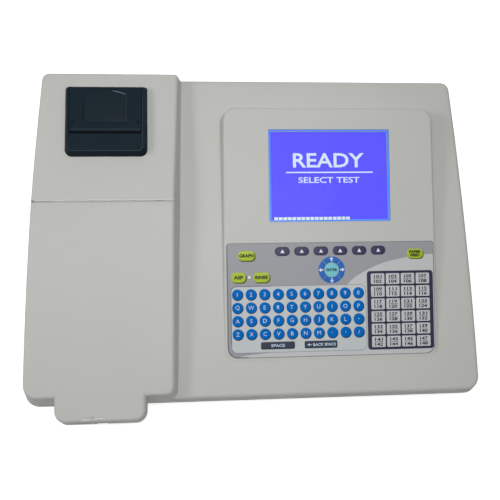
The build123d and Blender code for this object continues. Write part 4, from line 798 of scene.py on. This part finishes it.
def add_stage():
    """Pale floor that shows white to the camera and keeps the shadow."""
    bm = bmesh.new()
    bmesh.ops.create_grid(bm, x_segments=4, y_segments=4, size=FLOOR_HALF)
    mesh = bpy.data.meshes.new("floor")
    bm.to_mesh(mesh)
    bm.free()
    floor = bpy.data.objects.new("floor", mesh)
    bpy.context.collection.objects.link(floor)
    material, tree, shader = new_material("floor")
    shader.inputs["Base Color"].default_value = FLOOR_COLOUR
    shader.inputs["Roughness"].default_value = 0.9
    shader.inputs["Specular IOR Level"].default_value = 0.1
    path = tree.nodes.new("ShaderNodeLightPath")
    glow = tree.nodes.new("ShaderNodeMath")
    glow.operation = "MULTIPLY"
    glow.inputs[1].default_value = FLOOR_GLOW
    tree.links.new(path.outputs["Is Camera Ray"], glow.inputs[0])
    tree.links.new(glow.outputs[0], shader.inputs["Emission Strength"])
    shader.inputs["Emission Color"].default_value = (1, 1, 1, 1)
    mesh.materials.append(material)


def add_lamp(name, place, size, watts):
    """Rectangular lamp that points at the object."""
    data = bpy.data.lights.new(name, "AREA")
    data.shape = "RECTANGLE"
    data.size, data.size_y = size
    data.energy = watts
    lamp = bpy.data.objects.new(name, data)
    lamp.location = place
    lamp.rotation_euler = (Vector(AIM) - Vector(place)).to_track_quat("-Z", "Y").to_euler()
    bpy.context.collection.objects.link(lamp)


def add_world():
    """White world: dim on the object, full to the camera and to shiny and clear surfaces."""
    world = bpy.data.worlds.new("world")
    world.use_nodes = True
    sky = world.node_tree
    background = sky.nodes["Background"]
    background.inputs["Color"].default_value = (1, 1, 1, 1)
    where = sky.nodes.new("ShaderNodeTexCoord")
    height = sky.nodes.new("ShaderNodeSeparateXYZ")
    level = sky.nodes.new("ShaderNodeMapRange")
    level.inputs["From Min"].default_value = 0.0
    level.inputs["From Max"].default_value = 1.0
    level.inputs["To Min"].default_value = SKY_LOW
    level.inputs["To Max"].default_value = SKY_HIGH
    sky.links.new(where.outputs["Generated"], height.inputs["Vector"])
    sky.links.new(height.outputs["Z"], level.inputs["Value"])
    path = sky.nodes.new("ShaderNodeLightPath")
    strength = level.outputs["Result"]
    for ray in ("Is Camera Ray", "Is Glossy Ray", "Is Transmission Ray"):
        most = sky.nodes.new("ShaderNodeMath")
        most.operation = "MAXIMUM"
        sky.links.new(strength, most.inputs[0])
        sky.links.new(path.outputs[ray], most.inputs[1])
        strength = most.outputs[0]
    sky.links.new(strength, background.inputs["Strength"])
    bpy.context.scene.world = world


add_stage()
for name, lamp in LAMPS.items():
    add_lamp(name, *lamp)
add_world()
bpy.context.scene.view_settings.view_transform = "Standard"

bpy.context.view_layer.update()
